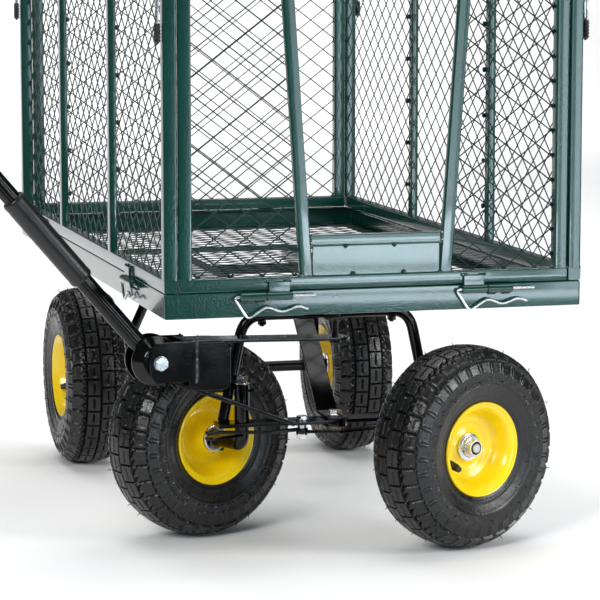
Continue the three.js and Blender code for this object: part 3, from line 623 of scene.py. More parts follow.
def bed():
    build = Build()
    bed_wall(build)
    bed_rails(build)
    bed_hinges(build)
    bed_corner_welds(build)
    build.make("bed_rim_look", GREEN, "chassis", ["bed_rim"])

    floor = Build()
    reach_x = BED_WIDTH / 2 - 3
    reach_y = BED_LENGTH / 2 - 12
    lines = mesh_lines(-reach_y, reach_y, lambda _: (-reach_x, reach_x), FLOOR_PITCH_X, FLOOR_PITCH_Y)
    for family, xa, ya, xb, yb in lines:
        z = FLOOR_Z + 0.25 * family
        floor.bar((xa, ya, z), (xb, yb, z), (yb - ya, xa - xb, 0), 2.6, 1.0, 0.4, 1)
    floor.make("bed_floor_look", GREEN_WIRE, "chassis", ["bed_floor_mesh"])


# ---------------------------------------------------------------- sides
def panel_outline(build, face, half):
    """Square tubes round a panel, with welds at the joints."""
    mid = BAR / 2
    out = face.out()
    for z in (PANEL_BOTTOM + mid, PANEL_TOP - mid):
        build.bar(face(-half, mid, z), face(half, mid, z), out, BAR, BAR, 2.2)
    for side in (-1, 1):
        x = side * (half - mid)
        inner = side * (half - BAR)
        low, high = PANEL_BOTTOM + BAR, PANEL_TOP - BAR
        build.bar(face(x, mid, low - 1.5), face(x, mid, high + 1.5), out, BAR, BAR, 2.2)
        for k, z in enumerate((low, high)):
            build.bead(face(inner, 3, z), face(side * half, 0.6, z), 1.3, 2.2, seed=91 + side + 3 * k)
            build.bead(face(inner, 2, z), face(inner, BAR - 2, z), 1.9, 2.4, seed=97 + side + 5 * k)


def panel_hinges(build, face):
    for side in (-1, 1):
        centre = hinge_knuckle(build, face, side, -1)
        z = HINGE_Z + 8.5
        build.bar(face(centre - 12.5, -2.5, z), face(centre + 12.5, -2.5, z), face.out(), 3.0, 17.0, 1.1)
        for end in (-1, 1):
            x = centre + end * 11
            z = HINGE_Z + 17
            build.bead(face(x - 3, -1.5, z), face(x + 3, -1.5, z), 1.9, 2.4, seed=11 + side + end * 3)


def side_panel(face, seed):
    half = BED_LENGTH / 2
    body = face.name + "_side"
    build = Build()
    panel_outline(build, face, half)
    for side in (-1, 1):
        x = side * SIDE_BAR_X
        build.bar(face(x, 5, MESH_LOW), face(x, 5, MESH_HIGH), face.out(), 10, 15.5, 2.0)
        for z in (PANEL_BOTTOM + BAR, PANEL_TOP - BAR):
            build.bead(face(x - 8, 2, z), face(x + 8, 2, z), 1.6, 2.4, seed=seed + side)
        x = side * (half - BAR / 2)
        build.bar(face(x - 2, -3.7, LATCH_Z), face(x + 2, -3.7, LATCH_Z), (0, 0, 1), 12, 9.5, 2.4)
    panel_hinges(build, face)
    build.make(face.name + "_frame_look", GREEN, body, [face.name + "_panel_frame"])

    wires = Build()
    place = face.at_depth(12.2)
    reach = half - BAR + 1
    wire_mesh(wires, place, lambda _: (-reach, reach), seed, shift=6.0)
    for x in (-SIDE_BAR_X, SIDE_BAR_X):
        for k in range(15):
            z = MESH_LOW + WIRE_PITCH_Z / 2 + k * WIRE_PITCH_Z
            if z < MESH_HIGH - 3:
                spot = place(x + (7 if k % 2 else -7), -0.5, z)
                wires.blob(spot, 2.5, stretch=(1.2, 1, 1.5), seed=seed + 400 + k + x)
    wires.make(face.name + "_mesh_look", GREEN_WIRE, body, [face.name + "_panel_mesh"])


def strut_x(z):
    """Distance of a strut's middle from the middle of the front panel."""
    return 86 + 28 * (z - PANEL_BOTTOM - BAR) / (PANEL_TOP - PANEL_BOTTOM - 2 * BAR)


def front_struts(build, face):
    for side in (-1, 1):
        low = face(side * strut_x(MESH_LOW), 5, MESH_LOW)
        high = face(side * strut_x(MESH_HIGH), 5, MESH_HIGH)
        build.bar(low, high, face.out(), 10, 15, 2.0)
        for z in (MESH_LOW + 1, MESH_HIGH - 1):
            x = side * strut_x(z)
            build.bead(face(x - 8, 1.5, z), face(x + 8, 1.5, z), 2.0, 2.4, seed=31 + side)
    z = PANEL_BOTTOM + SLAT_RISE
    x = strut_x(z) - 3
    build.bar(face(-x, 5, z), face(x, 5, z), face.out(), 8, 14, 1.8)
    for side in (-1, 1):
        x = side * (strut_x(z) - 8)
        build.bead(face(x, 0.8, z - 6), face(x, 0.8, z + 6), 2.1, 2.6, seed=35 + side)


def front_plate(face):
    plate = Build()
    x = strut_x(PANEL_BOTTOM + BAR) - 8
    low = PANEL_BOTTOM + BAR - 0.5
    high = PANEL_BOTTOM + PLATE_TOP
    mid = (low + high) / 2
    plate.bar(face(-x, 3, mid), face(x, 3, mid), face.out(), 2.2, high - low, 0.7)
    plate.make("front_plate_look", GREEN, "front_side", ["front_panel_plate"])
    tacks = Build()
    for k, (x, z) in enumerate(((-38, high - 0.5), (22, high - 0.5), (-29, low + 1.6), (34, low + 1.6))):
        tacks.blob(face(x, 1.2, z), 3.4, stretch=(1, 0.6, 0.9), seed=70 + k)
    tacks.make("front_plate_tacks_look", GREEN_WIRE, "front_side")


def front_panel():
    face = FRONT
    build = Build()
    panel_outline(build, face, END_HALF)
    front_struts(build, face)
    panel_hinges(build, face)
    build.make("front_frame_look", GREEN, "front_side", ["front_panel_frame"])
    front_plate(face)

    edge = END_HALF - BAR + 1
    fields = {
        "left": (-1, 12.0, lambda z: (-edge, 3 - strut_x(z))),
        "right": (1, 4.0, lambda z: (strut_x(z) - 3, edge)),
    }
    for name, (side, shift, inside) in fields.items():
        wires = Build()
        wire_mesh(wires, face.at_depth(12.2), inside, 500 + side, shift)
        wires.make("front_mesh_%s_look" % name, GREEN_WIRE, "front_side", ["front_panel_mesh_" + name])


def rear_panel():
    build = Build()
    panel_outline(build, REAR, END_HALF)
    panel_hinges(build, REAR)
    build.make("rear_frame_look", GREEN, "rear_side", ["rear_panel_frame"])
    wires = Build()
    reach = END_HALF - BAR + 1
    wire_mesh(wires, REAR.at_depth(8.5), lambda _: (-reach, reach), 600)
    wires.make("rear_mesh_look", GREEN_WIRE, "rear_side", ["rear_panel_mesh"])


# ---------------------------------------------------------------- clips and latches
def clips():
    """Bent wire pins, one in each hinge."""
    shape = [(99, 0), (0, 0), (17, -26), (40, -11.5), (58, -19), (79, -12), (90, -16)]
    for face in FACES:
        for side, letter in ((-1, "a"), (1, "b")):
            x = side * face.offset - 39.5
            points = [face(x + dx, -HINGE_OUT, HINGE_Z + dz) for dx, dz in shape]
            build = Build()
            build.tube(rounded(points, 6.0, 5), 1.6, 12)
            name = "clip_%s_%s" % (face.name, letter)
            build.make(name + "_look", ZINC, name + "_body", [name])


def latch_tip(face, x, depth, low):
    """Flat ribbed rubber sleeve round the lower end of a latch wire."""
    tip = Build()
    points, radii = [], []
    for k in range(28):
        t = k / 27
        points.append(face(x, depth, low + 27 * t))
        start = math.sin(math.pi * min(1.0, t * 6 + 0.02) / 2)
        finish = math.sin(math.pi * min(1.0, (1 - t) * 6 + 0.05) / 2)
        rib = 0.55 if k % 4 < 2 else -0.55
        radii.append((5.6 + rib) * start * finish + 0.4)
    tip.tube(points, radii, 16)
    flat = face.across()
    centre = face(x, depth, 0)
    for i, v in enumerate(tip.verts):
        offset = Vector((v.x - centre.x, v.y - centre.y, 0))
        along = offset.dot(flat)
        off = offset - flat * along
        moved = centre + flat * along * 1.1 + off * 0.62
        tip.verts[i] = Vector((moved.x, moved.y, v.z))
    return tip


def latches():
    shape = [(-0.4, 0), (-6, 0), (-4, -118), (4, -118), (6, 0), (0.4, 0)]
    depth = -5
    for face, ends in ((LEFT, {-1: "rear", 1: "front"}), (RIGHT, {-1: "front", 1: "rear"})):
        for side, end in ends.items():
            x = side * (BED_LENGTH - BAR) / 2
            name = "latch_%s_%s" % (face.name, end)
            wire = Build()
            points = [face(x + dx, depth, LATCH_Z + dz) for dx, dz in shape]
            wire.tube(rounded(points, 3.5, 5), 1.5, 10)
            wire.make(name + "_wire_look", ZINC, name + "_body", [name])
            tip = latch_tip(face, x, depth, LATCH_Z - 130)
            tip.make(name + "_tip_look", TIP_RUBBER, name + "_body")


# ---------------------------------------------------------------- wheels
def mirrored(outline):
    """The same outline of (radius, offset) on the other side, in the opposite order."""
    return [(r, -o) for r, o in reversed(outline)]


TYRE_PROFILE = [
    (56.0, -33.0), (61.0, -35.2), (68.0, -37.6), (78.0, -41.0), (88.0, -42.6), (98.0, -42.4), (107.0, -39.6),
    (114.0, -34.8), (119.0, -27.0), (121.6, -18.0), (123.0, -9.0), (123.6, 0.0),
]
TYRE_INNER = [(52.0, 30.0), (51.6, 27.0), (60.0, 24.0), (95.0, 30.0), (114.0, 18.0)]
TYRE_INNER += [(117.0, 0.0)] + mirrored(TYRE_INNER)
PROFILE_ROWS = 60
TREAD_DEPTH = 3.6
TREAD_PITCH = 22.8
PITCHES = 34


def smooth_step(edge0, edge1, value):
    t = min(1.0, max(0.0, (value - edge0) / (edge1 - edge0)))
    return t * t * (3 - 2 * t)


def zigzag(t, height):
    return height * (abs((t % 1.0) * 2 - 1) * 2 - 1)


def tread_height(turn_share, s):
    """Height of the tread, 0 to 1. turn_share counts pitches round the tyre, s runs from its middle."""
    a = abs(s)
    phase = turn_share + (0.5 if s > 0 else 0.0)
    along = ((phase % 1.0) - 0.5) * TREAD_PITCH
    edge = abs(abs(along) - 0.5 * TREAD_PITCH)
    height = smooth_step(0.5, 1.4, a)
    if a < 19:
        # blocks each side of the middle groove, with a sipe
        height *= smooth_step(0.5, 1.4, edge)
        if abs(along) < 7.5:
            height *= 1 - 0.6 * (1 - smooth_step(0.4, 1.1, abs(a - 10)))
    elif a < 28:
        # zigzag groove
        line = 23.5 + zigzag(phase * 2 + 0.25, 2.4)
        height *= smooth_step(0.5, 1.4, abs(a - line))
        height *= 1 - 0.8 * (1 - smooth_step(0.5, 1.3, edge)) * smooth_step(24, 26, a)
        height *= smooth_step(0.3, 1.1, abs(a - 19.4))
    elif a < 41:
        # shoulder lugs with a shallow pocket
        lug = abs(along)
        height *= 0.75 * smooth_step(10.6, 9.4, lug) * smooth_step(28.2, 29.2, a) * smooth_step(41, 39.6, a)
        if lug < 6.6 and 31.5 < a < 37.6:
            height *= 0.7
    elif a < 56:
        # raised outlines on the upper side wall
        lug = abs(abs(along) - 0.5 * TREAD_PITCH)
        outline = max(lug - 8.6, abs(a - 49.0) - 6.2)
        height = 0.3 * smooth_step(1.5, 0.4, abs(outline)) + 0.06 * smooth_step(0.4, -0.4, outline)
    elif a < 68:
        outline = max(abs(along) - 8.4, abs(a - 62.5) - 4.4)
        height = 0.2 * smooth_step(1.4, 0.4, abs(outline))
    else:
        height = 0.0
    return height


def spline(p0, p1, p2, p3, t):
    """Catmull-Rom point between p1 and p2."""
    return tuple(
        0.5 * (
            2 * b + (c - a) * t + (2 * a - 5 * b + 4 * c - d) * t * t
            + (3 * b - a - 3 * c + d) * t ** 3
        )
        for a, b, c, d in zip(p0, p1, p2, p3)
    )


def tyre_points():
    """Profile resampled by length: (radius, offset, distance from the middle of the tread)."""
    dense = []
    for i in range(len(TYRE_PROFILE) - 1):
        p0 = TYRE_PROFILE[max(i - 1, 0)]
        p1, p2 = TYRE_PROFILE[i], TYRE_PROFILE[i + 1]
        p3 = TYRE_PROFILE[i + 2] if i + 2 < len(TYRE_PROFILE) else (p2[0], -p1[1])
        dense += [spline(p0, p1, p2, p3, k / 12) for k in range(12)]
    dense.append(TYRE_PROFILE[-1])
    lengths = [0.0]
    for a, b in zip(dense, dense[1:]):
        lengths.append(lengths[-1] + math.hypot(b[0] - a[0], b[1] - a[1]))
    total = lengths[-1]
    rows = []
    index = 0
    for k in range(PROFILE_ROWS + 1):
        wanted = total * k / PROFILE_ROWS
        while index < len(dense) - 2 and lengths[index + 1] < wanted:
            index += 1
        t = (wanted - lengths[index]) / (lengths[index + 1] - lengths[index])
        a, b = dense[index], dense[index + 1]
        rows.append((a[0] + (b[0] - a[0]) * t, a[1] + (b[1] - a[1]) * t, wanted - total))
    return rows + [(r, -o, -s) for r, o, s in reversed(rows[:-1])]


def tyre_normals(rows):
    """Each row with the direction that points out of the rubber: (radius, offset, distance, normal)."""
    profile = []
    for i, (r, o, s) in enumerate(rows):
        a = rows[max(i - 1, 0)]
        b = rows[min(i + 1, len(rows) - 1)]
        tangent = Vector((b[0] - a[0], b[1] - a[1])).normalized()
        normal = Vector((-tangent.y, tangent.x))
        outwards = normal.x if r > 90 else normal.y * (1 if o > 0 else -1)
        profile.append((r, o, s, -normal if outwards < 0 else normal))
    return profile


def tyre_relief(share, s):
    if 70 < abs(s) < 71.2 or 86 < abs(s) < 89:
        return 0.8
    return tread_height(share, s) * TREAD_DEPTH if abs(s) < 70 else 0.0


def tyre_shape():
    """Vertices of a tyre round the X axis at the origin, with its tread, and its faces."""
    around = PITCHES * 16
    profile = tyre_normals(tyre_points())
    verts = []
    count = len(profile) + len(TYRE_INNER)
    for j in range(around):
        angle = 2 * math.pi * j / around
        c, sn = math.cos(angle), math.sin(angle)
        share = PITCHES * j / around
        for r, o, s, normal in profile:
            h = tyre_relief(share, s)
            rr = r + normal.x * h
            verts.append(Vector((o + normal.y * h, rr * c, rr * sn)))
        verts += [Vector((o, r * c, r * sn)) for r, o in TYRE_INNER]
    faces = []
    for j in range(around):
        n = (j + 1) % around
        for i in range(count):
            m = (i + 1) % count
            faces.append((j * count + i, j * count + m, n * count + m, n * count + i))
    return verts, faces


def moulding_hairs(tyre, to_bed, seed):
    """Rubber nibs left by the mould, on the side walls and on the tread."""
    rnd = random.Random(seed)

    def point(offset, radius, angle):
        return to_bed((offset, radius * math.cos(angle), radius * math.sin(angle)))

    for k in range(26):
        angle = 2 * math.pi * (k + 0.3 * rnd.random()) / 26
        for side in (-1, 1):
            r = 84 + 12 * rnd.random()
            tip = side * (43.8 + 1.6 * rnd.random())
            tyre.tube([point(side * 40.0, r, angle), point(tip, r, angle)], [0.9, 0.6], 6)
    for k in range(54):
        angle = 2 * math.pi * (k + 0.5 * rnd.random()) / 54
        offset = (-30, -21, 20, 31)[k % 4] + 2 * rnd.random()
        r = 121.0 if abs(offset) > 25 else 124.0
        height = 3.2 + 1.6 * rnd.random()
        tip = point(offset * 1.03, r + height, angle + 0.01)
        tyre.tube([point(offset, r, angle), tip], [0.7, 0.35], 5)


# (radius, offset) of the pressed rim
RIM_DISH = [
    (13.6, 8.4), (17.6, 8.8), (19.6, 8.2), (22.0, 6.6), (25.0, 5.6), (28.6, 6.2), (31.0, 8.0), (34.0, 9.4),
    (37.0, 9.8), (40.6, 11.6), (43.6, 15.4), (45.6, 20.0),
]
RIM_LIP = [
    (47.2, 25.0), (49.4, 30.0), (52.4, 33.4), (55.0, 34.4), (56.2, 35.4), (57.2, 36.8), (58.6, 37.2),
    (59.6, 36.0), (59.4, 34.2), (58.0, 33.2), (55.6, 32.4), (53.0, 30.8), (51.0, 27.0), (50.6, 20.0),
    (49.8, 10.0),
]
RIM_BACK = [
    (45.4, -18.0), (42.0, -9.0), (37.6, -4.2), (33.0, -3.0), (29.0, -5.4), (24.0, -12.0), (20.4, -20.0),
    (18.2, -26.0), (17.4, -28.8), (13.6, -29.0),
]
RIM_PROFILE = RIM_DISH + RIM_LIP + mirrored(RIM_LIP) + RIM_BACK
HUB_PROFILE = [
    (9.0, 13.6), (10.4, 13.6), (11.0, 15.4), (12.6, 15.6), (13.2, 13.2), (15.6, 13.0), (17.4, 12.6),
    (17.8, 11.4), (17.8, 8.6), (13.4, 8.6), (13.4, -29.0), (16.6, -29.2), (17.2, -30.4), (16.6, -32.2),
    (14.6, -32.8), (12.4, -32.4), (12.0, -30.6), (9.0, -30.6),
]
# (offset, slant, radius) along the valve stem
VALVE = [
    (-10.0, 0.0, 3.7), (6.0, 0.2, 3.7), (8.0, 0.4, 5.2), (18.0, 2.2, 4.9), (24.0, 3.6, 4.6), (24.6, 3.8, 3.9),
    (29.0, 4.9, 3.8), (29.5, 5.0, 3.0),
]


def wheel_local(side, steered):
    """Maps wheel coordinates (outwards, across, up) to bed coordinates."""
    def to_bed(p):
        x, y, z = side * p[0], side * p[1], p[2]
        if not steered:
            return Vector((side * REAR_WHEEL_X + x, REAR_AXLE_Y + y, WHEEL_RADIUS + z))
        kingpin = (side * KINGPIN_X, FRONT_AXLE_Y)
        spot = (side * FRONT_WHEEL_X + x, FRONT_AXLE_Y + y, WHEEL_RADIUS + z)
        return turned_point(spot, kingpin, -STEERED)
    return to_bed


def wheel(tag, side, steered, tyre_verts, tyre_faces):
    to_bed = wheel_local(side, steered)
    body = "wheel_" + tag
    origin = to_bed((0, 0, 0))
    axis = to_bed((1, 0, 0)) - origin
    tyre = Build()
    tyre.add([to_bed(v) for v in tyre_verts], tyre_faces)
    moulding_hairs(tyre, to_bed, 7 + side)
    tyre.make("tyre_%s_look" % tag, RUBBER, body, ["tyre_" + tag], smooth=50, flat_faces=False)

    rim = Build()
    rim.lathe(RIM_PROFILE, origin, axis, 96)
    rim.make("rim_%s_look" % tag, YELLOW, body, ["rim_" + tag], smooth=60, flat_faces=False)

    hub = Build()
    hub.lathe(HUB_PROFILE, origin, axis, 64)
    hub.make("hub_%s_look" % tag, ZINC, body, smooth=40)

    valve = Build()
    stem = [to_bed((offset, -27.6 - slant, -19.0 - 0.7 * slant)) for offset, slant, _ in VALVE]
    valve.tube(stem, [radius for _, _, radius in VALVE], 18)
    valve.make("valve_%s_look" % tag, TIP_RUBBER, body)


def wheels():
    tyre_verts, tyre_faces = tyre_shape()
    for end in ("front", "rear"):
        for side, name in SIDES:
            wheel("%s_%s" % (end, name), side, end == "front", tyre_verts, tyre_faces)


# ---------------------------------------------------------------- undercarriage
def arches():
    """Bent tubes that carry the two axles, with welds at their feet."""
    foot, foot_z, shoulder = 136, 156.6, 108
    front = Build()
    y = FRONT_ARCH_Y
    corners = [(-foot, y, foot_z), (-shoulder, y, ARCH_TOP), (shoulder, y, ARCH_TOP), (foot, y, foot_z)]
    front.tube(rounded(corners, 26, 8), ARCH_TUBE, 20)
    front.bar((0, y + 4, 287), (0, y - 44, 287), (1, 0, 0), 24, 4, 1.0)
    for side in (-1, 1):
        x = side * foot
        front.bead((x - 6, y - 7, 158), (x + 6, y - 7, 158), 1.8, 2.4, seed=side + 3)
        front.bead((side * 12, y - 7, 286), (side * 12, y + 6, 286), 1.6, 2.4, seed=side + 9)
    front.make("front_arch_look", BLACK, "chassis", ["front_arch"])

    foot, foot_y, shoulder, top_y = 150, 315, 112, 200
    rear = Build()
    corners = [
        (-foot, foot_y, 137), (-shoulder, top_y, ARCH_TOP), (shoulder, top_y, ARCH_TOP), (foot, foot_y, 137),
    ]
    rear.tube(rounded(corners, 26, 8), ARCH_TUBE, 20)
    for side in (-1, 1):
        x = side * foot
        rear.bar((x, REAR_AXLE_Y, 142), (x, REAR_AXLE_Y, 114), (1, 0, 0), 18, 26, 3.0)
        rear.bead((x - 8, 306, 140), (x + 8, 306, 140), 1.8, 2.4, seed=side + 13)
    rear.make("rear_arch_look", BLACK, "chassis", ["rear_arch"])


def half_round(x, y, radius, steps, first=0.0):
    """Points of a half circle in the XY plane."""
    angles = [first + math.pi * k / steps for k in range(steps + 1)]
    return [(x + radius * math.cos(a), y + radius * math.sin(a)) for a in angles]


def slab(build, outline, low, high, place, ease=0.6):
    """A plate with eased edges. outline is in its plane, low and high give its two faces at a point."""
    n = len(outline)
    mid = (sum(p[0] for p in outline) / n, sum(p[1] for p in outline) / n)
    inset = []
    for p in outline:
        k = 1 - ease / math.hypot(p[0] - mid[0], p[1] - mid[1])
        inset.append((mid[0] + (p[0] - mid[0]) * k, mid[1] + (p[1] - mid[1]) * k))
    build.loft([
        [place(a, b, low(a, b)) for a, b in inset],
        [place(a, b, low(a, b) + ease) for a, b in outline],
        [place(a, b, high(a, b) - ease) for a, b in outline],
        [place(a, b, high(a, b)) for a, b in inset],
    ])


def knuckle(name, side):
    """Bent stub axle with its steering arm, drawn straight and then turned about the kingpin."""
    x, y = side * KINGPIN_X, FRONT_AXLE_Y
    arm = 48

    def steer(px, py, pz):
        return turned_point((px, py, pz), (x, y), -STEERED)

    build = Build()
    kingpin = [(215, 3.6), (206, 4), (205.9, 5.9), (158, 5.9)]
    build.tube([steer(x, y, z) for z, _ in kingpin], [radius for _, radius in kingpin], 20)
    bend = rounded([(x, y, 157), (x, y, WHEEL_RADIUS), (x + side * arm, y, WHEEL_RADIUS)], 22, 10)
    build.tube([steer(*p) for p in bend], 9.0, 24)
    stub = [(40, 9.0), (46, 11.0), (52, 11.0), (54, 10.4), (54.1, 7.9), (107, 7.9), (108, 6.2)]
    line = [steer(x + side * reach, y, WHEEL_RADIUS) for reach, _ in stub]
    build.tube(line, [radius for _, radius in stub], 24)
    outline = half_round(x, y, 8, 10) + half_round(x, y - arm, 8, 10, math.pi)
    slab(build, outline, lambda px, py: 139.5, lambda px, py: 143.3, steer)
    build.make("knuckle_%s_look" % name, BLACK, "steer_" + name, ["knuckle_" + name])

    end = [(106, 6.1), (113.6, 6.1), (114.6, 5.2), (114.8, 3.0)]
    stud = Build()
    line = [steer(x + side * reach, y, WHEEL_RADIUS) for reach, _ in end]
    stud.tube(line, [radius for _, radius in end], 24)
    stud.make("stub_end_%s_look" % name, ZINC_DULL, "steer_" + name)


def kingpin_barrel(name, side):
    """Barrel that the kingpin turns in, with a grease nipple, and the washer on top of it."""
    x, y = side * KINGPIN_X, FRONT_AXLE_Y
    barrel = Build()
    barrel.lathe(
        [(6.3, 156.6), (9.0, 156.6), (9.4, 157.4), (9.4, 203.6), (8.8, 204.7), (6.3, 204.7)],
        (x, y, 0), (0, 0, 1), 32, up=(1, 0, 0),
    )
    nipple = [(x + 8, y - 4, 196), (x + 12.5, y - 6.5, 197.5), (x + 14.5, y - 7.6, 198.2)]
    barrel.tube(nipple, [1.6, 1.6, 2.3], 12)
    barrel.make("kingpin_barrel_%s_look" % name, BLACK, "chassis", ["kingpin_barrel_" + name])
    washer = Build()
    washer.lathe(
        [(4.2, 205.0), (9.6, 205.0), (10.2, 205.5), (10.2, 206.0), (9.6, 206.5), (4.2, 206.5)],
        (x, y, 0), (0, 0, 1), 32, up=(1, 0, 0),
    )
    washer.make("kingpin_washer_%s_look" % name, ZINC, "steer_" + name)


def undercarriage():
    arches()
    black_parts = (
        "arch_bolt_left", "arch_bolt_right", "centre_brace", "front_beam", "upper_pivot_pin", "rear_axle",
    )
    for node in black_parts:
        refined(node, BLACK, "chassis")
    for side, name in SIDES:
        refined("tie_rod_" + name, BLACK, "link_" + name, 0.5)
        knuckle(name, side)
        refined("kingpin_nut_" + name, ZINC, "steer_" + name, 0.6)
        refined("axle_nut_front_" + name, ZINC, "steer_" + name, 0.5)
        refined("axle_nut_rear_" + name, ZINC, "chassis", 0.5)
        kingpin_barrel(name, side)
    refined("lower_pivot_bolt", ZINC, "chassis", 0.6)
    refined("link_bolt", ZINC, "tongue", 0.6)
    refined("clevis_bolt", ZINC, "tongue", 0.6)
    drawbar()


# ---------------------------------------------------------------- drawbar and handle
def drawbar_plates(build):
    """Upper strap, lower strap and the slanted strap between the lower one and the box."""
    def place(x, y, z):
        return tongue((x, y, z))

    def upper_top(_, y):
        return 264.6 + 7 * (PIVOT.y - y) / 201

    outline = half_round(0, PIVOT.y, 18, 14) + [(-18, BOX_FRONT - 2), (18, BOX_FRONT - 2)]
    slab(build, outline, lambda x, y: upper_top(x, y) - 4, upper_top, place)
    outline = half_round(0, PIVOT.y, 15, 14) + [(-15, PIVOT.y - 61), (15, PIVOT.y - 61)]
    slab(build, outline, lambda x, y: 156.4, lambda x, y: 160.4, place)
    across = tongue((1, PIVOT.y, 0)) - tongue((0, PIVOT.y, 0))
    low = tongue((0, PIVOT.y - 59, 157.8))
    high = tongue((0, PIVOT.y - 214, 219.2))
    build.bar(low, high, across, 30, 5.5, 0.8)


def drawbar_cheeks(build):
    """The two rounded plates that hold the handle bolt."""
    root = BOX_FRONT + 7
    end = CLEVIS.y - 14
    for x0 in (-33, 29):
        shape = [(root, CLEVIS.z - 24.5), (root, CLEVIS.z + 24.5)]
        for back, share in CHEEK_NOSE:
            shape.append((end + back, CLEVIS.z + share * 25))
        for back, share in reversed(CHEEK_NOSE[:-1]):
            shape.append((end + back, CLEVIS.z - share * 25))
        slab(build, shape, lambda y, z: x0, lambda y, z: x0 + 4, lambda y, z, x: tongue((x, y, z)), 0.7)


def drawbar():
    build = Build()
    drawbar_plates(build)
    box_y = PIVOT.y - 174.5
    build.bar(tongue((-30, box_y, 239.5)), tongue((30, box_y, 239.5)), (0, 0, 1), 59, 53, 9.0, 5)
    drawbar_cheeks(build)
    y = BOX_FRONT - 1.5
    build.bar(tongue((-32, y, CLEVIS.z)), tongue((32, y, CLEVIS.z)), (0, 0, 1), 48, 5, 1.0)
    build.make("drawbar_look", BLACK, "tongue", ["drawbar"])

    weld = Build()
    for side in (-1, 1):
        x, y = side * 32.5, BOX_FRONT + 8
        weld.bead(tongue((x, y, 222)), tongue((x, y, 271)), 2.1, 2.2, seed=side + 21)
        x, y = side * 31.5, BOX_FRONT + 10.5
        weld.bead(tongue((x, y, 224)), tongue((x, y, 270)), 1.5, 3.1, seed=side + 23)
    weld.make("drawbar_weld_look", WELD, "tongue")


def flute(angle):
    """Ten shallow grooves round the handle tube."""
    return 1 - 0.055 * max(0.0, math.cos(10 * angle)) ** 3


def handle_base():
    """Two pressed cups on a bush, with the fluted tube that rises from them."""
    base = Build()
    inner = 28.7
    cup = [
        (5.4, 25.4), (17.0, 25.4), (19.0, 24.0), (28.0, 14.2), (29.0, 12.8), (30.4, 12.4), (31.0, 13.6),
        (30.8, 15.6), (29.8, 17.2), (21.4, 26.8), (20.0, 28.2), (18.6, inner), (5.4, inner),
    ]
    origin = tongue(CLEVIS)
    axis = tongue(CLEVIS + Vector((1, 0, 0))) - origin
    for side in (-1, 1):
        base.lathe([(r, side * offset) for r, offset in cup], origin, axis, 64)
    base.lathe([(5.4, -25), (12, -25), (12, 25), (5.4, 25)], origin, axis, 32)
    line = [on_handle(12), on_handle(60), on_handle(SLEEVE_FROM + 30)]
    base.tube(line, HANDLE_TUBE, 96, section=flute)
    for side in (-1, 1):
        base.bead(on_handle(12, side * 11), on_handle(20, side * 11), 2.0, 2.4, seed=side + 41)
    base.make("handle_base_look", BLACK, "handle", ["handle_base"], smooth=50)


def handle():
    handle_base()
    line = on_handle(1) - on_handle(0)
    length = SLEEVE_TO - SLEEVE_FROM
    sleeve = Build()
    sleeve.lathe([
        (11.4, 0.0), (13.6, 0.0), (14.5, 1.4), (14.8, 6.0), (14.2, 10.0), (14.5, 14.0), (14.6, length - 14.0),
        (14.2, length - 9.0), (14.9, length - 5.0), (14.4, length - 1.2), (13.4, length), (11.4, length),
    ], on_handle(SLEEVE_FROM), line, 48)
    sleeve.make("handle_sleeve_look", BLACK_PLASTIC, "handle", ["handle_sleeve"])

    tube = Build()
    stops = (SLEEVE_FROM + 30.3, 300, 600, HANDLE_LENGTH - 105)
    tube.tube([on_handle(d) for d in stops], HANDLE_TUBE, 96, section=flute)
    tube.make("handle_tube_look", BLACK, "handle", ["handle_tube"], smooth=50)

    grip = Build()
    top = HANDLE_LENGTH
    collar = [(0, 0), (12.6, 0), (14, 1.4), (14, 14), (13, 18), (13, 26), (11, 30), (0, 30)]
    grip.lathe(collar, on_handle(top - 104.7), line, 40)
    loop = [(0, top - 92), (-58, top - 50), (-58, top), (58, top), (58, top - 50)]
    path = rounded([on_handle(d, x) for x, d in loop], 22, 8, closed=True)
    grip.tube(path, 11.0, 24, section=lambda a: 1 - 0.08 * math.cos(2 * a), closed=True)
    grip.make("handle_grip_look", BLACK_PLASTIC, "handle", ["handle_grip"], smooth=50)


# ---------------------------------------------------------------- scene
def backdrop():
    """Pale floor that ends in front of the cart and curls up far behind it."""
    sweep = [(-1150, 0), (6800, 0), (8200, 120), (8800, 420), (9000, 800)]
    path = rounded([Vector((0, y, z)) for y, z in sweep], 500, 6)
    half_width = 5200
    verts = [(x, p.y, p.z - 0.05) for p in path for x in (-half_width, half_width)]
    faces = [(2 * i, 2 * i + 1, 2 * i + 3, 2 * i + 2) for i in range(len(path) - 1)]
    mesh = bpy.data.meshes.new("floor")
    mesh.from_pydata([at(*v) for v in verts], [], faces)
    look = Look("studio_floor")
    look.tint(look.noise(1.5), [(0.2, (0.9, 0.9, 0.9)), (0.8, (0.94, 0.94, 0.94))])
    look.set("Roughness", 0.9)
    mesh.materials.append(look.material)
    mesh.shade_smooth()
    floor = add_object("floor", mesh)


def area(name, location, target, size, power, colour=(1, 1, 1)):
    """A rectangular lamp. location and target are in metres from the bed's centre line."""
    light = bpy.data.lights.new(name, "AREA")
    light.shape = "RECTANGLE"
    light.size, light.size_y = size
    light.energy = power
    light.color = colour
    lamp = add_object(name, light)
    lamp.location = Vector(location) + Vector((BED_X, 0, 0))
    aim = Vector(target) - Vector(location)
    lamp.rotation_euler = aim.to_track_quat("-Z", "Y").to_euler()


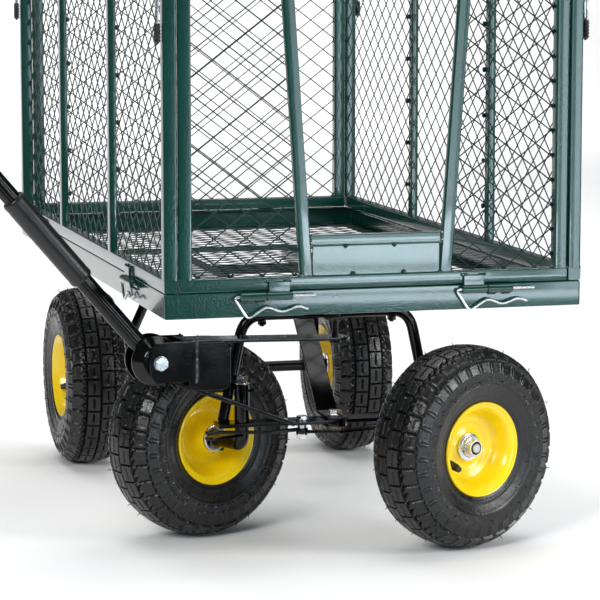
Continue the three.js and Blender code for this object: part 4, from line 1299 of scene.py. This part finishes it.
def studio():
    backdrop()
    world = bpy.data.worlds.new("studio")
    world.use_nodes = True
    background = world.node_tree.nodes["Background"]
    background.inputs["Color"].default_value = (0.9, 0.95, 1.0, 1.0)
    background.inputs["Strength"].default_value = 0.10
    bpy.context.scene.world = world

    # broad soft lamps
    area("key", (-2.3, -2.6, 2.0), (-0.1, -0.2, 0.3), (1.3, 1.3), 80)
    area("top", (0.2, 0.3, 3.4), (0.0, 0.3, 0.0), (3.2, 3.2), 96)
    area("right_fill", (2.4, -2.2, 1.3), (0.0, -0.2, 0.25), (1.1, 1.1), 60)
    # pale cards that the front plate, struts, rail and right posts mirror
    sky = (0.74, 0.90, 1.0)
    area("plate_card", (0.46, -1.95, 0.232), (0.0, -0.45, 0.39), (0.36, 0.09), 1.5, sky)
    area("strut_card", (0.47, -1.95, 0.50), (0.0, -0.45, 0.60), (0.36, 0.40), 1.5, sky)
    area("rail_card", (0.60, -1.95, 0.136), (0.1, -0.45, 0.33), (0.68, 0.05), 1.35, sky)
    area("post_card", (0.90, -1.95, 0.42), (0.3, -0.45, 0.52), (0.24, 0.52), 2.4, sky)
    # the floor behind the cart
    area("middle_wash", (0.6, 3.4, 3.0), (0.6, 3.9, 0.0), (4.5, 2.6), 108)
    area("back_wash", (1.2, 6.8, 2.6), (1.2, 8.4, 0.2), (6.0, 2.0), 155)


def camera():
    data = bpy.data.cameras.new("camera")
    data.sensor_width = 36.0
    data.lens = 166.97
    data.shift_y = 0.0389
    data.clip_end = 60
    thing = add_object("camera", data)
    thing.location = at(-957.75, -3613.37, 762.18)
    yaw, pitch = 0.2693, 0.1392
    forward = Vector((
        math.sin(yaw) * math.cos(pitch), math.cos(yaw) * math.cos(pitch), -math.sin(pitch),
    ))
    thing.rotation_euler = forward.to_track_quat("-Z", "Y").to_euler()
    bpy.context.scene.camera = thing


bed()
side_panel(LEFT, 100)
side_panel(RIGHT, 200)
front_panel()
rear_panel()
clips()
latches()
wheels()
undercarriage()
handle()
studio()
camera()
bpy.context.scene.view_settings.view_transform = "Standard"
